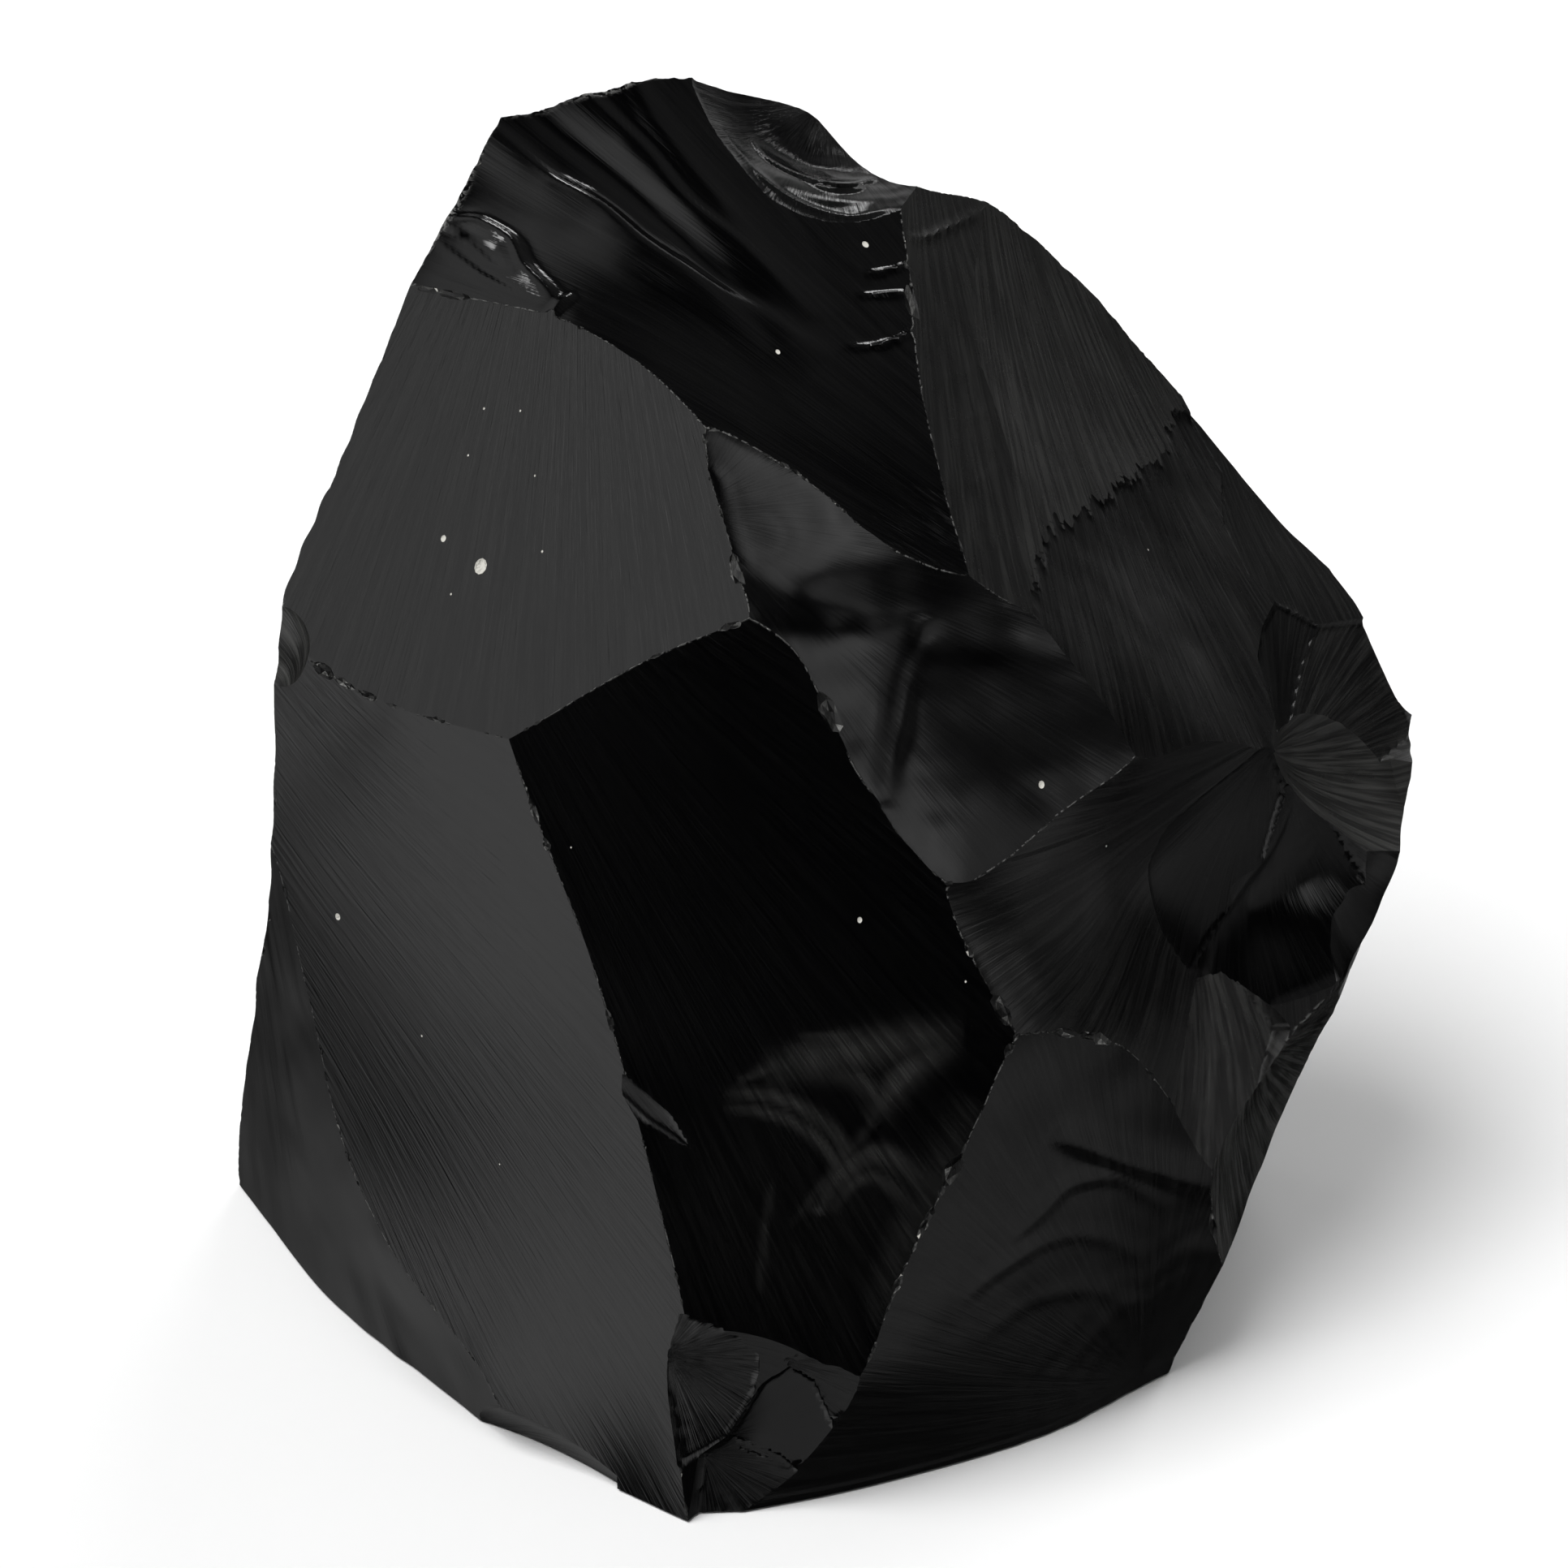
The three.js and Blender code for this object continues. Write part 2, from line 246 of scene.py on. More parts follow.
class Fracture:
    """One fracture sheet: a turned plane with heights over it.

    It runs through its corners, and those named as inner, and bends like a shell of the radius hollow,
    or swells out where that is below 0. A bounded sheet climbs away outside its corners. A scar lies on
    another sheet: it drops below it by a depth at each corner and at each floor point, and climbs out
    by its wall, with a rim that feather makes ragged by a height and a width.
    """

    made = {}

    def __init__(self, name, corners, hollow=400, inner="", bounded=False, on=None, drops=0.0, floor=(),
                 wall=1.5, feather=(), **marks):
        self.parent = Fracture.made.get(on)
        self.scar = on is not None
        self.bounded, self.wall, self.feather = bounded, wall, feather
        rim = np.array([CORNER[c] for c in corners.split()] if isinstance(corners, str) else corners, float)
        self.middle, self.turn = self.place(rim)
        self.loop = self.flat(rim)
        held = self.loop.copy()
        if self.parent:
            held[:, 2] = drops
            if floor:
                places = np.array(floor, float)
                held = np.vstack([held, np.column_stack([self.flat(places[:, :3])[:, :2], places[:, 3]])])
        elif inner:
            held = np.vstack([held, self.flat(np.array([CORNER[c] for c in inner.split()], float))])
        self.radius = np.hypot(*self.loop[:, :2].T).max()
        self.hollow = hollow
        if not self.parent:
            held[:, 2] -= self.shell(held[:, 0], held[:, 1])
        self.sheet = sheet_through(held)
        self.finish(name, **marks)

    def finish(self, name, cell=None, blow=None, ripple=(), hackle=(), swell=(), creases=(), satin=0.06,
               grain=0.4, frosted=0.0, soft=0.0, sheen_strokes=()):
        """Takes the name and the marks, once the sheet's own plane is known.

        Ripples have a height, a length and, where they fade out, a reach from the blow. Hackle lines and
        swell have a height and a width. Satin, grain and the frosting run from 0 to 1; the frosting is also
        painted sheen, a pale haze in the colour that lightens faces where they would mirror light. Soft is
        how many mm that haze takes to come up from the rim. Creases are strokes of height, and the sheen
        strokes are strokes of painted sheen.
        """
        self.name = name
        self.number = len(Fracture.made) + 1
        Fracture.made[name] = self
        self.cell = cell or (SCAR_CELL if self.scar else FACE_CELL)
        self.satin, self.grain, self.frosted, self.soft = satin, grain, frosted, soft
        self.ripple, self.hackle, self.swell = ripple, hackle, swell
        self.blow = self.flat(np.array([blow], float))[0, :2] if blow else self.loop[0, :2]
        self.creases, self.sheen_strokes = self.strokes(creases), self.strokes(sheen_strokes)

    def strokes(self, marks):
        """Marks along a path, each with its strength, its width on either side and its path in the plane."""
        return [(strength, left, right, smooth_path(self.flat(np.array(path, float))[:, :2]))
                for strength, left, right, path in marks]

    def place(self, rim):
        """The middle of the corners, and axes that run level to the right, up the face and out of it."""
        if self.parent:
            return self.parent.middle, self.parent.turn
        out = np.sum(np.cross(rim, np.roll(rim, -1, axis=0)), axis=0)
        out /= np.linalg.norm(out)
        right = np.cross((0, 0, 1), out)
        right /= np.linalg.norm(right)
        return rim.mean(axis=0), np.stack([right, np.cross(out, right), out])

    def flat(self, points):
        return (points - self.middle) @ self.turn.T

    def shell(self, x, y):
        return (x * x + y * y - self.radius ** 2) / (2 * self.hollow)

    def calm(self, x, y):
        """The sheet without its ripples."""
        if self.parent:
            return self.parent.calm(x, y) + self.sheet(x, y)
        pull = np.minimum(1, HOLD * self.radius / np.maximum(np.hypot(x, y), TINY))
        return self.shell(x * pull, y * pull) + self.sheet(x * pull, y * pull)

    def height(self, x, y):
        lift = 0.0
        if self.parent:
            gap = rim_gap(self.loop[:, :2], x, y) + self.jags(x, y)
            lift = self.wall * np.maximum(0, gap)
        elif self.bounded:
            lift = RIM_LIFT * np.maximum(0, rim_gap(self.loop[:, :2], x, y)) ** 2
        return self.calm(x, y) + lift + self.marks(x, y)

    def jags(self, x, y):
        """How far a feathered rim runs in and out between the hackle lines."""
        if not self.feather:
            return 0.0
        high, width = self.feather
        across = np.arctan2(y - self.blow[1], x - self.blow[0]) * np.hypot(*self.blow) / width
        seed = SEED + 10 * self.number
        level = np.zeros_like(across)
        coarse = noise(across, level, seed + 7)
        fine = noise(2.3 * across, level, seed + 8)
        return 0.5 * high * (1 + coarse + fine)

    def frost(self, x, y):
        """How much frosting and painted sheen each place has. A soft patch comes up to its strength in from
        the rim, and the sheen strokes add more painted sheen.
        """
        total = np.full(len(x), self.frosted)
        if self.soft:
            total *= np.clip(-rim_gap(self.loop[:, :2], x, y) / self.soft, 0, 1)
        for stroke in self.sheen_strokes:
            total = np.maximum(total, crease(x, y, *stroke))
        return total

    def marks(self, x, y):
        """Ripples round the blow, hackle lines away from it, slow waves and creases.

        A whole number added to a place or a seed only takes another stretch of the noise.
        """
        seed = SEED + 10 * self.number
        gap = np.hypot(x - self.blow[0], y - self.blow[1])
        angle = np.arctan2(y - self.blow[1], x - self.blow[0])
        mean = max(self.radius, 1.0)
        total = np.zeros_like(x)
        if self.swell:
            high, length = self.swell
            total += high * noise(x / length + 9, y / length + 5, seed)
            total += 0.4 * high * noise(2.3 * x / length, 2.3 * y / length, seed + 1)
        if self.ripple:
            high, length, *reach = self.ripple
            wander = 0.35 * noise(angle * mean / (3 * length) + 20, gap / (4 * length), seed + 2)
            patch = 0.55 + 0.45 * noise(x / (3 * length) + 3, y / (3 * length) + 7, seed + 3)
            fade = np.exp(-(gap / reach[0]) ** 4) if reach else 1.0
            total += high * patch * fade * np.sin(2 * np.pi * (gap / length + wander))
        if self.hackle:
            high, width = self.hackle
            across = angle * mean / width
            lines = 1 - 2 * np.abs(noise(across + 30, gap / (9 * width), seed + 4))
            lines += 0.5 * noise(2.7 * across, gap / (6 * width) + 3, seed + 5)
            patch = np.clip(0.5 + 0.8 * noise(x / (7 * width) + 5, y / (7 * width) + 2, seed + 6), 0, 1)
            total += high * patch * lines
        for high, left, right, path in self.creases:
            total += crease(x, y, high, left, right, path)
        return total


class Bowl(Fracture):
    """An oval flake scar with a plane of its own, hollow like a shell."""

    def __init__(self, name, at, faces, runs, half, depth, **marks):
        self.parent, self.scar, self.bounded = None, True, False
        out = np.array(faces, float) / np.linalg.norm(faces)
        across = np.cross(out, runs)
        across /= np.linalg.norm(across)
        self.middle, self.turn = np.array(at, float), np.stack([np.cross(across, out), across, out])
        self.half, self.depth, self.radius = half, depth, max(half)
        a, b = half
        self.loop = np.array([(-a, -b, 0), (a, -b, 0), (a, b, 0), (-a, b, 0)], float)
        self.finish(name, **marks)

    def calm(self, x, y):
        return self.depth * ((x / self.half[0]) ** 2 + (y / self.half[1]) ** 2 - 1)


def crease(x, y, high, left, right, path):
    """A rib along a path, falling away over its own width on either side and fading at its ends."""
    best = np.full(x.shape, np.inf)
    lean = np.zeros(x.shape)
    along = np.zeros(x.shape)
    count = len(path) - 1
    for i in range(count):
        gap, part, side = reach_to(x, y, *path[i], *path[i + 1])
        nearer = gap < best
        best = np.where(nearer, gap, best)
        lean = np.where(nearer, side, lean)
        along = np.where(nearer, (i + part) / count, along)
    width = np.where(lean > 0, right, left)
    fade = np.sin(np.pi * np.clip(along, 0, 1)) ** 0.5
    return high * fade * np.exp(-(best / width) ** 2)


# ---------------------------------------------------------------- from sheets to cut stone

BLOCK_SPARE = 2.0   # mm of rough block outside the stone's box


def link(name, mesh):
    item = bpy.data.objects.new(name, mesh)
    bpy.context.scene.collection.objects.link(item)
    return item


def lines(low, high, cell, reach):
    """Grid line places: even cells from low to high, then a few that widen out to the reach."""
    even = np.linspace(low, high, max(4, round((high - low) / cell)) + 1)
    if reach <= 0:
        return even
    steps = np.linspace(0, 1, OUTER_CELLS + 1)[1:] ** 2
    before = low - steps[::-1] * (reach + low)
    after = high + steps * (reach - high)
    return np.concatenate([before, even, after])


def cutter(fracture):
    """Everything above one fracture sheet, as a closed solid: a slab whose underside is the sheet."""
    scar = fracture.scar
    margin = SCAR_MARGIN if scar else FACE_MARGIN
    low = fracture.loop[:, :2].min(axis=0) - margin
    high = fracture.loop[:, :2].max(axis=0) + margin
    xs, ys = (lines(a, b, fracture.cell, 0 if scar else REACH) for a, b in zip(low, high))
    bm = bmesh.new()
    bmesh.ops.create_grid(bm, x_segments=len(xs) - 1, y_segments=len(ys) - 1, size=1)
    made = bmesh.ops.extrude_face_region(bm, geom=bm.faces[:])
    top = [v for v in made["geom"] if isinstance(v, bmesh.types.BMVert)]
    bmesh.ops.translate(bm, verts=top, vec=(0, 0, 1))
    bmesh.ops.recalc_face_normals(bm, faces=bm.faces)
    source = bm.faces.layers.int.new("source")
    for face in bm.faces:
        face[source] = fracture.number
    mesh = bpy.data.meshes.new(fracture.name)
    bm.to_mesh(mesh)
    bm.free()
    place = np.empty(len(mesh.vertices) * 3, np.float32)
    mesh.vertices.foreach_get("co", place)
    place = place.reshape(-1, 3).astype(float)
    x = xs[np.rint((place[:, 0] + 1) / 2 * (len(xs) - 1)).astype(int)]
    y = ys[np.rint((place[:, 1] + 1) / 2 * (len(ys) - 1)).astype(int)]
    away = SCAR_AWAY if scar else AWAY
    z = np.where(place[:, 2] > 0.5, away, fracture.height(x, y))
    world = np.column_stack([x, y, z]) @ fracture.turn + fracture.middle
    mesh.vertices.foreach_set("co", world.astype(np.float32).ravel())
    mesh.update()
    return link(fracture.name, mesh)


def carve(stone, cutters):
    """Takes the cutters out of the stone and gives its new mesh."""
    for tool in cutters:
        cut = stone.modifiers.new(tool.name, "BOOLEAN")
        cut.operation = "DIFFERENCE"
        cut.solver = "MANIFOLD"
        cut.object = tool
    graph = bpy.context.evaluated_depsgraph_get()
    mesh = bpy.data.meshes.new_from_object(stone.evaluated_get(graph), preserve_all_data_layers=True,
                                           depsgraph=graph)
    stone.modifiers.clear()
    stone.data = mesh
    for tool in cutters:
        bpy.data.objects.remove(tool)


def rough_block():
    """The block to knap: a little larger than the stone all round, flat at its underside."""
    low, high = (np.array(corner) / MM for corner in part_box("obsidian_chunk"))
    spare = np.array([BLOCK_SPARE, BLOCK_SPARE, 0])
    low, high = low - spare, high + np.array([BLOCK_SPARE] * 3)
    bm = bmesh.new()
    bmesh.ops.create_cube(bm, size=1)
    bmesh.ops.scale(bm, verts=bm.verts, vec=high - low)
    bmesh.ops.translate(bm, verts=bm.verts, vec=(low + high) / 2)
    bm.faces.layers.int.new("source")
    mesh = bpy.data.meshes.new("obsidian_block")
    bm.to_mesh(mesh)
    bm.free()
    return link("knapped_obsidian", mesh)


# ---------------------------------------------------------------- the faces of this stone

def big_faces():
    """The fracture faces that give the stone its shape, corners counterclockwise from outside."""
    # The frost amounts of these faces are frost and also painted sheen: a pale haze that lightens the faces
    # where they would mirror light.
    Fracture("upper front", "knee browMiddle brow browScar shoulderEnd shoulderArch leftShoulder "
             "leftTemple hipEdge hip hipBend", hollow=900, cell=0.8, blow=(-14, 24, 92),
             swell=(0.03, 12), hackle=(0.01, 1.6), satin=0.12, grain=1.0, frosted=0.01)
    Fracture("lower front", "knee hipBend hip flankTop flankUpper flankMiddle flankLower flankToe "
             "baseFront foot keelLow keelMiddle keelHigh", hollow=-350, cell=0.8, blow=(-60, 10, 75),
             swell=(0.015, 16), satin=0.12, grain=0.5, frosted=0.01)
    Fracture("left flank", "flankUpper flankBack baseLeftBack baseLeft baseLeftFront flankToe "
             "flankLower flankMiddle", hollow=300, cell=0.5, blow=(-36, 0, 75), swell=(0.12, 7),
             hackle=(0.05, 1.6), satin=0.12)
    # The dark face's feather strokes are painted sheen: pale haze in its colour where its feather scars would
    # mirror light.
    Fracture("dark face", "knee keelHigh keelMiddle keelLow toe toeUpper chinLower chin ribRight "
             "browRight brow browMiddle", hollow=400, cell=0.36, blow=(-30, -8, 80), swell=(0.02, 9),
             satin=0.03, grain=0.35, sheen_strokes=FEATHER_SHEEN,
             creases=[(0.22, 1.0, 0.35, [(2.5, -19.5, 22), (4, -18.5, 25.5), (6.5, -17.5, 29),
                                         (9, -17, 32)])])
    Fracture("toe", "keelLow foot toe", hollow=60, cell=0.4, satin=0.1)
    Fracture("crown", "leftShoulder shoulderArch shoulderEnd crownMiddle crownPoint crownEdge crownBack "
             "crownRight crownBrim crownTop crownLeft crownLip", hollow=140, cell=0.3, blow=(33, -16, 55),
             hackle=(0.02, 0.5), swell=(0.1, 8), satin=0.06, grain=0.4, creases=CROWN_RIBS)
    Fracture("strip", "crownRight crownBack crownEdge crownPoint stripFoot stripMiddle stripTop",
             hollow=300, cell=0.35, blow=(8, 40, 82), swell=(0.04, 5), satin=0.28, grain=0.5, frosted=0.15,
             creases=STRIP_TICKS)
    Fracture("right slope", "stripTop stripMiddle stripFoot slopeFoot bowlTop bowlUpperRight strike "
             "slopeEnd slopeBrim slopeLow slopeMiddle slopeTop", hollow=200, cell=0.5, blow=(12, 44, 82),
             swell=(0.05, 7), hackle=(0.012, 1.1), satin=0.28, grain=0.6, frosted=0.25)
    Fracture("satin hollow", "brow browRight ribRight bowlLeft bowlUpperLeft bowlTop slopeFoot stripFoot "
             "crownPoint crownMiddle shoulderEnd browScar", inner="satinHigh satinMiddle", hollow=45,
             bounded=True, cell=0.32, blow=(-6, -6, 68), swell=(0.12, 4), hackle=(0.012, 1.2), satin=0.2,
             grain=0.3, creases=SATIN_WAVES)
    Fracture("right bowl", "chin jawBend jaw cheekLow cheekMiddle cheekHigh strike bowlUpperRight "
             "bowlTop bowlUpperLeft bowlLeft ribRight", inner="bowlFloor", hollow=200, bounded=True,
             cell=0.35, blow=(36, 3, 46), swell=(0.1, 7), ripple=(0.012, 2.6), hackle=(0.015, 0.9),
             satin=0.22, grain=0.7, frosted=0.06)
    Fracture("right foot", "chin chinLower toeUpper toe foot baseRightFront baseRight jawFoot jaw jawBend",
             hollow=150, cell=0.4, blow=(25, -9, 1), swell=(0.1, 8), ripple=(0.04, 2.6, 13),
             hackle=(0.015, 1.3), satin=0.13, grain=0.6, frosted=0.03, creases=FOOT_RINGS)
    Fracture("jaw", "jaw jawFoot heelRight cheekLow", hollow=60, cell=0.4, blow=(30, -10, 30),
             swell=(0.15, 4), hackle=(0.05, 0.8), satin=0.22, grain=0.9, frosted=0.38)
    Fracture("right heel", "jawFoot baseRight baseRightMiddle baseRightBack heelBack heelRight",
             hollow=200, blow=(45, 0, 30), swell=(0.15, 8), ripple=(0.07, 3.2, 42), hackle=(0.06, 1.6))
    Fracture("right cheek", "cheekLow heelRight heelBack slopeEnd cheekHigh cheekMiddle", hollow=120,
             blow=(40, 2, 44), swell=(0.15, 7), ripple=(0.07, 2.8, 30), hackle=(0.08, 1.4), satin=0.1)
    Fracture("right brim", "slopeTop slopeMiddle slopeLow slopeBrim slopeEnd backRight", hollow=150,
             blow=(30, 35, 80), swell=(0.12, 8), ripple=(0.1, 3), hackle=(0.07, 1.5), satin=0.12)
    Fracture("back right low", "heelBack baseRightBack baseBack backLow backRight slopeEnd", hollow=150,
             blow=(50, 26, 50), swell=(0.15, 9), ripple=(0.09, 3.6, 55), hackle=(0.07, 1.6))
    Fracture("back right", "backRight backLow backMiddle backHigh crownTop crownBrim crownRight "
             "stripTop slopeTop", hollow=110, blow=(6, 30, 90), swell=(0.2, 9), ripple=(0.1, 3.8, 60),
             hackle=(0.08, 1.6))
    Fracture("back low", "baseBack baseBackLeft backLow", hollow=120, blow=(-4, 40, 26),
             ripple=(0.15, 3), hackle=(0.06, 1.4))
    Fracture("back left low", "backLow baseBackLeft backLeftMiddle backMiddle", hollow=130,
             blow=(-42, 26, 60), swell=(0.2, 9), ripple=(0.1, 3.4, 55), hackle=(0.07, 1.5))
    Fracture("back left", "backMiddle backLeftMiddle backLeftHigh crownLeft crownTop backHigh",
             hollow=120, blow=(-10, 30, 92), swell=(0.2, 9), ripple=(0.1, 3.6, 45), hackle=(0.08, 1.6))
    Fracture("left brow", "leftShoulder crownLip crownLeft backLeftHigh backLeftMiddle flankTop hipEdge "
             "leftTemple", hollow=220, blow=(-30, 20, 90), swell=(0.15, 8), ripple=(0.1, 3.2),
             hackle=(0.07, 1.5))
    Fracture("left side", "baseLeftBack flankBack flankUpper flankTop backLeftMiddle baseBackLeft",
             hollow=260, blow=(-38, 20, 66), swell=(0.15, 9), ripple=(0.08, 3.6, 50), hackle=(0.06, 1.7))


# Ribs: height, width on the left and on the right of the way it runs, and that way.
CROWN_RIBS = [
    (0.45, 0.6, 0.9, [(-24, 18, 78.5), (-22, 17.5, 78), (-20.5, 17, 78.5), (-18.5, 15.5, 77.5),
                      (-17.5, 13, 77), (-16, 11, 76), (-15, 9.5, 75.5)]),
    (0.10, 0.22, 0.22, [(-23.5, 16, 77.5), (-22.5, 15, 77), (-20, 12.5, 76), (-17.5, 10.5, 75.5),
                        (-16, 9.5, 75)]),
    (0.10, 0.22, 0.22, [(-23.5, 17.3, 78), (-22, 16.5, 77.5), (-19.5, 13.5, 76.5), (-16.5, 10.5, 75.5)]),
    (0.25, 0.25, 0.25, [(-16, 8.7, 74), (-15.4, 9.6, 74.3), (-14.2, 11, 75)]),
    (0.7, 0.8, 2.3, [(-22, 26, 81), (-19, 23.5, 80.5), (-16, 20.5, 79.5), (-12.5, 18, 79), (-9.5, 15, 78),
                     (-6.5, 13, 76.5), (-2.5, 11, 74.5), (3, 8, 72)]),
    (-0.4, 1.3, 1.1, [(-18.5, 28, 81), (-15.5, 25, 80.5), (-11.5, 21.5, 79), (-7.5, 17.5, 77.5),
                      (-3.5, 12, 75.5), (0, 8, 73)]),
    (0.4, 0.5, 1.7, [(-15.5, 30, 82), (-12.5, 26.5, 81.5), (-9.5, 23.5, 80), (-6.5, 19.5, 78), (-2.5, 16, 76),
                     (2, 11, 74)]),
    (0.35, 0.9, 1.1, [(-11, 30.5, 82.5), (-9.5, 27, 82), (-7.5, 24, 80.5), (-4.5, 20, 78.5), (-2, 16.5, 76.5),
                      (3, 11, 74)]),
    # crescents where the crown meets the strip
    (0.22, 0.12, 0.4, [(5.5, 16, 74.5), (7, 16.5, 74.5), (9, 18, 74.5)]),
    (0.22, 0.12, 0.4, [(5, 14, 74), (6.5, 14.3, 74), (9, 15, 73.5)]),
    (0.25, 0.12, 0.4, [(4, 9.5, 72), (6, 10, 72), (7.5, 10.5, 72.5), (9.5, 12.5, 72.5)]),
]

# Thin steps round the bowl in the crown.
BOWL_RINGS = [
    (0.12, 0.3, 0.15, [(-4.6, 27.5, 80), (-2.4, 24.3, 79), (-0.5, 22.3, 78), (1.8, 21, 77.3),
                       (4.5, 20.6, 76.8), (7, 21.7, 76.8)]),
    (0.3, 0.7, 0.2, [(-2.5, 28.5, 79.5), (-1.2, 26.3, 79), (0.8, 24.8, 78.5), (3, 24.2, 78.3), (5, 24.8, 78),
                     (6.5, 26, 78)]),
    (0.2, 0.25, 0.25, [(1.5, 24.2, 78.5), (3.2, 23.6, 78), (4.8, 23.9, 78), (6, 25, 78)]),
]

# Painted sheen low on the dark face: pale strokes in its colour where the feather scars would mirror
# light, as strength, widths and way: a broad feather with its stems, two curved ones under it, and
# faint patches round them.
FEATHER_SHEEN = [
    (0.42, 1.1, 1.4, [(-1.5, -17.3, 31.8), (1.5, -17, 32.7), (4.5, -16.8, 33.2), (8, -16.4, 33.9),
                      (12, -16.5, 34.4)]),
    (0.42, 1.0, 0.8, [(11.5, -16.6, 34), (8.5, -17, 32.2), (7, -17.3, 30.4), (5.8, -17.5, 28.2)]),
    (0.34, 0.5, 0.8, [(2.5, -17.2, 31.8), (4.5, -17.2, 31.6), (6, -17.3, 30.4), (6.4, -17.5, 28.8)]),
    (0.22, 0.35, 0.35, [(6.4, -17.4, 29.2), (5, -18, 27), (3, -18.7, 24.6), (1, -19.3, 21.5)]),
    (0.20, 0.3, 0.35, [(5.4, -17.6, 28), (3.8, -18.4, 25.6), (2.2, -18.9, 23.6), (0.2, -19.6, 20.8)]),
    (0.38, 0.45, 0.45, [(-4, -17.4, 30.4), (-1, -17.5, 30.2), (1.5, -17.8, 29.2), (3.8, -18.3, 27),
                        (4.3, -18.6, 25)]),
    (0.34, 0.4, 0.4, [(-4, -17.6, 29.4), (-1, -17.8, 29), (1.2, -18.1, 28), (3.2, -18.5, 26),
                      (3.6, -18.8, 24.4)]),
    (0.38, 0.5, 1.0, [(2, -19.3, 22), (3.8, -18.9, 25), (6, -18.6, 26.4), (8.4, -18.7, 25.4),
                      (10.6, -19, 22.2)]),
    (0.26, 0.4, 0.5, [(3, -19.4, 22), (4.6, -19.1, 24.2), (6.2, -19, 24.6), (8, -19.3, 23),
                      (9.4, -19.7, 20.4)]),
    (0.22, 0.3, 0.3, [(-0.8, -19.2, 24.5), (-1.3, -20, 21), (-1.6, -20.8, 16.5)]),
    (0.16, 1.4, 1.4, [(13, -17.4, 30), (10.5, -18.6, 25), (8, -20, 20), (6, -21.5, 14)]),
    (0.04, 7.0, 7.0, [(-8, -18, 28), (0, -20, 21), (8, -20.5, 18)]),
]

# Painted sheen along the barbs of the broad feather.
FEATHER_SHEEN += [
    (0.32, 0.25, 0.25, [(-3.2 + 0.8 * k, -17.3, 31.2 + 0.62 * k), (-0.6 + 0.9 * k, -17.1, 32 + 0.5 * k),
                        (2.6 + 0.9 * k, -16.9, 32.6 + 0.4 * k)])
    for k in range(6)
]

# Short ticks across the strip, with a crescent at the top.
STRIP_TICKS = [
    (0.25, 0.12, 0.35, [(8, 20, 75), (9, 20.5, 75), (10, 21.5, 75), (11.5, 24, 74.5), (14.5, 28.5, 74)]),
    (0.05, 0.15, 0.15, [(10.5, 10, 69), (12, 11.5, 69), (14, 14, 69)]),
    (0.05, 0.15, 0.15, [(10.5, 6, 67.5), (12.5, 8, 67.5), (14.5, 11, 67.5)]),
    (0.05, 0.15, 0.15, [(11, 1, 65.5), (13, 3, 65.5), (15, 6, 65.5)]),
]

# Slow waves in the satin hollow: a dark groove under its top, a valley and a rib down the middle.
SATIN_WAVES = [
    (-0.38, 1.7, 1.4, [(-4, -7, 64), (-2, -6.5, 63.5), (0.5, -7, 62.2), (4, -7.2, 61.6), (7.5, -7.3, 61.6),
                      (11.5, -7, 62.2), (14, -7, 62.5)]),
    (0.28, 1.0, 0.9, [(9.3, -8, 61.5), (9, -8.5, 59.8), (8, -9.5, 57.4), (7.5, -10.5, 55), (7, -11.5, 52.5),
                      (6.5, -12.5, 49.5)]),
    (0.16, 1.3, 1.0, [(8.5, -8.5, 59.2), (10.5, -8.5, 59.2), (13, -8, 58.9), (16, -7.5, 58.5),
                      (20, -7, 57.5)]),
    (0.04, 0.4, 0.4, [(-2.2, -4, 66.5), (-0.8, -4, 66.8), (0.2, -4.6, 65.6), (-0.6, -5.2, 64.6),
                        (-2, -5.2, 64.7)]),
]

# Hackle lines in the satin hollow's left corner.
SATIN_WAVES += [
    (-0.09, 0.22, 0.22, [(-5.4 + 0.19 * k, -1.6 - 0.5 * k, 68.8 - 0.5 * k),
                         (-4.5 + 0.19 * k, -2.0 - 0.5 * k, 68.9 - 0.5 * k),
                         (-3.4 + 0.19 * k, -2.6 - 0.5 * k, 68.4 - 0.5 * k)])
    for k in range(9)
]

# A step and rings on the right foot.
FOOT_RINGS = [
    (0.22, 1.4, 0.4, [(18, -15.5, 25.5), (20, -14.5, 24), (22.5, -13, 22), (29.5, -9.5, 17), (31, -8, 16)]),
    (0.1, 0.8, 0.3, [(15, -16.5, 18), (17.5, -15.5, 19.5), (19.5, -14.5, 21), (22.5, -13, 20.5),
                     (24, -12, 19), (26, -10.5, 16.5)]),
    (0.08, 0.8, 0.3, [(12, -18, 14.5), (15, -17, 16), (18.5, -15, 17), (22, -13, 15.5), (25, -11, 12)]),
    (0.08, 1.0, 0.4, [(13, -16.5, 11), (17, -15, 12.5), (21, -12.5, 11.5), (24, -11, 8)]),
]

# A thin rib down the bowl's dark pit.
PIT_RIB = [
    (0.3, 0.35, 0.9, [(35, 5.5, 40), (33.5, 3.5, 37), (31, 0, 34.8), (29.5, -2, 34), (28.5, -4.5, 31.5)]),
]


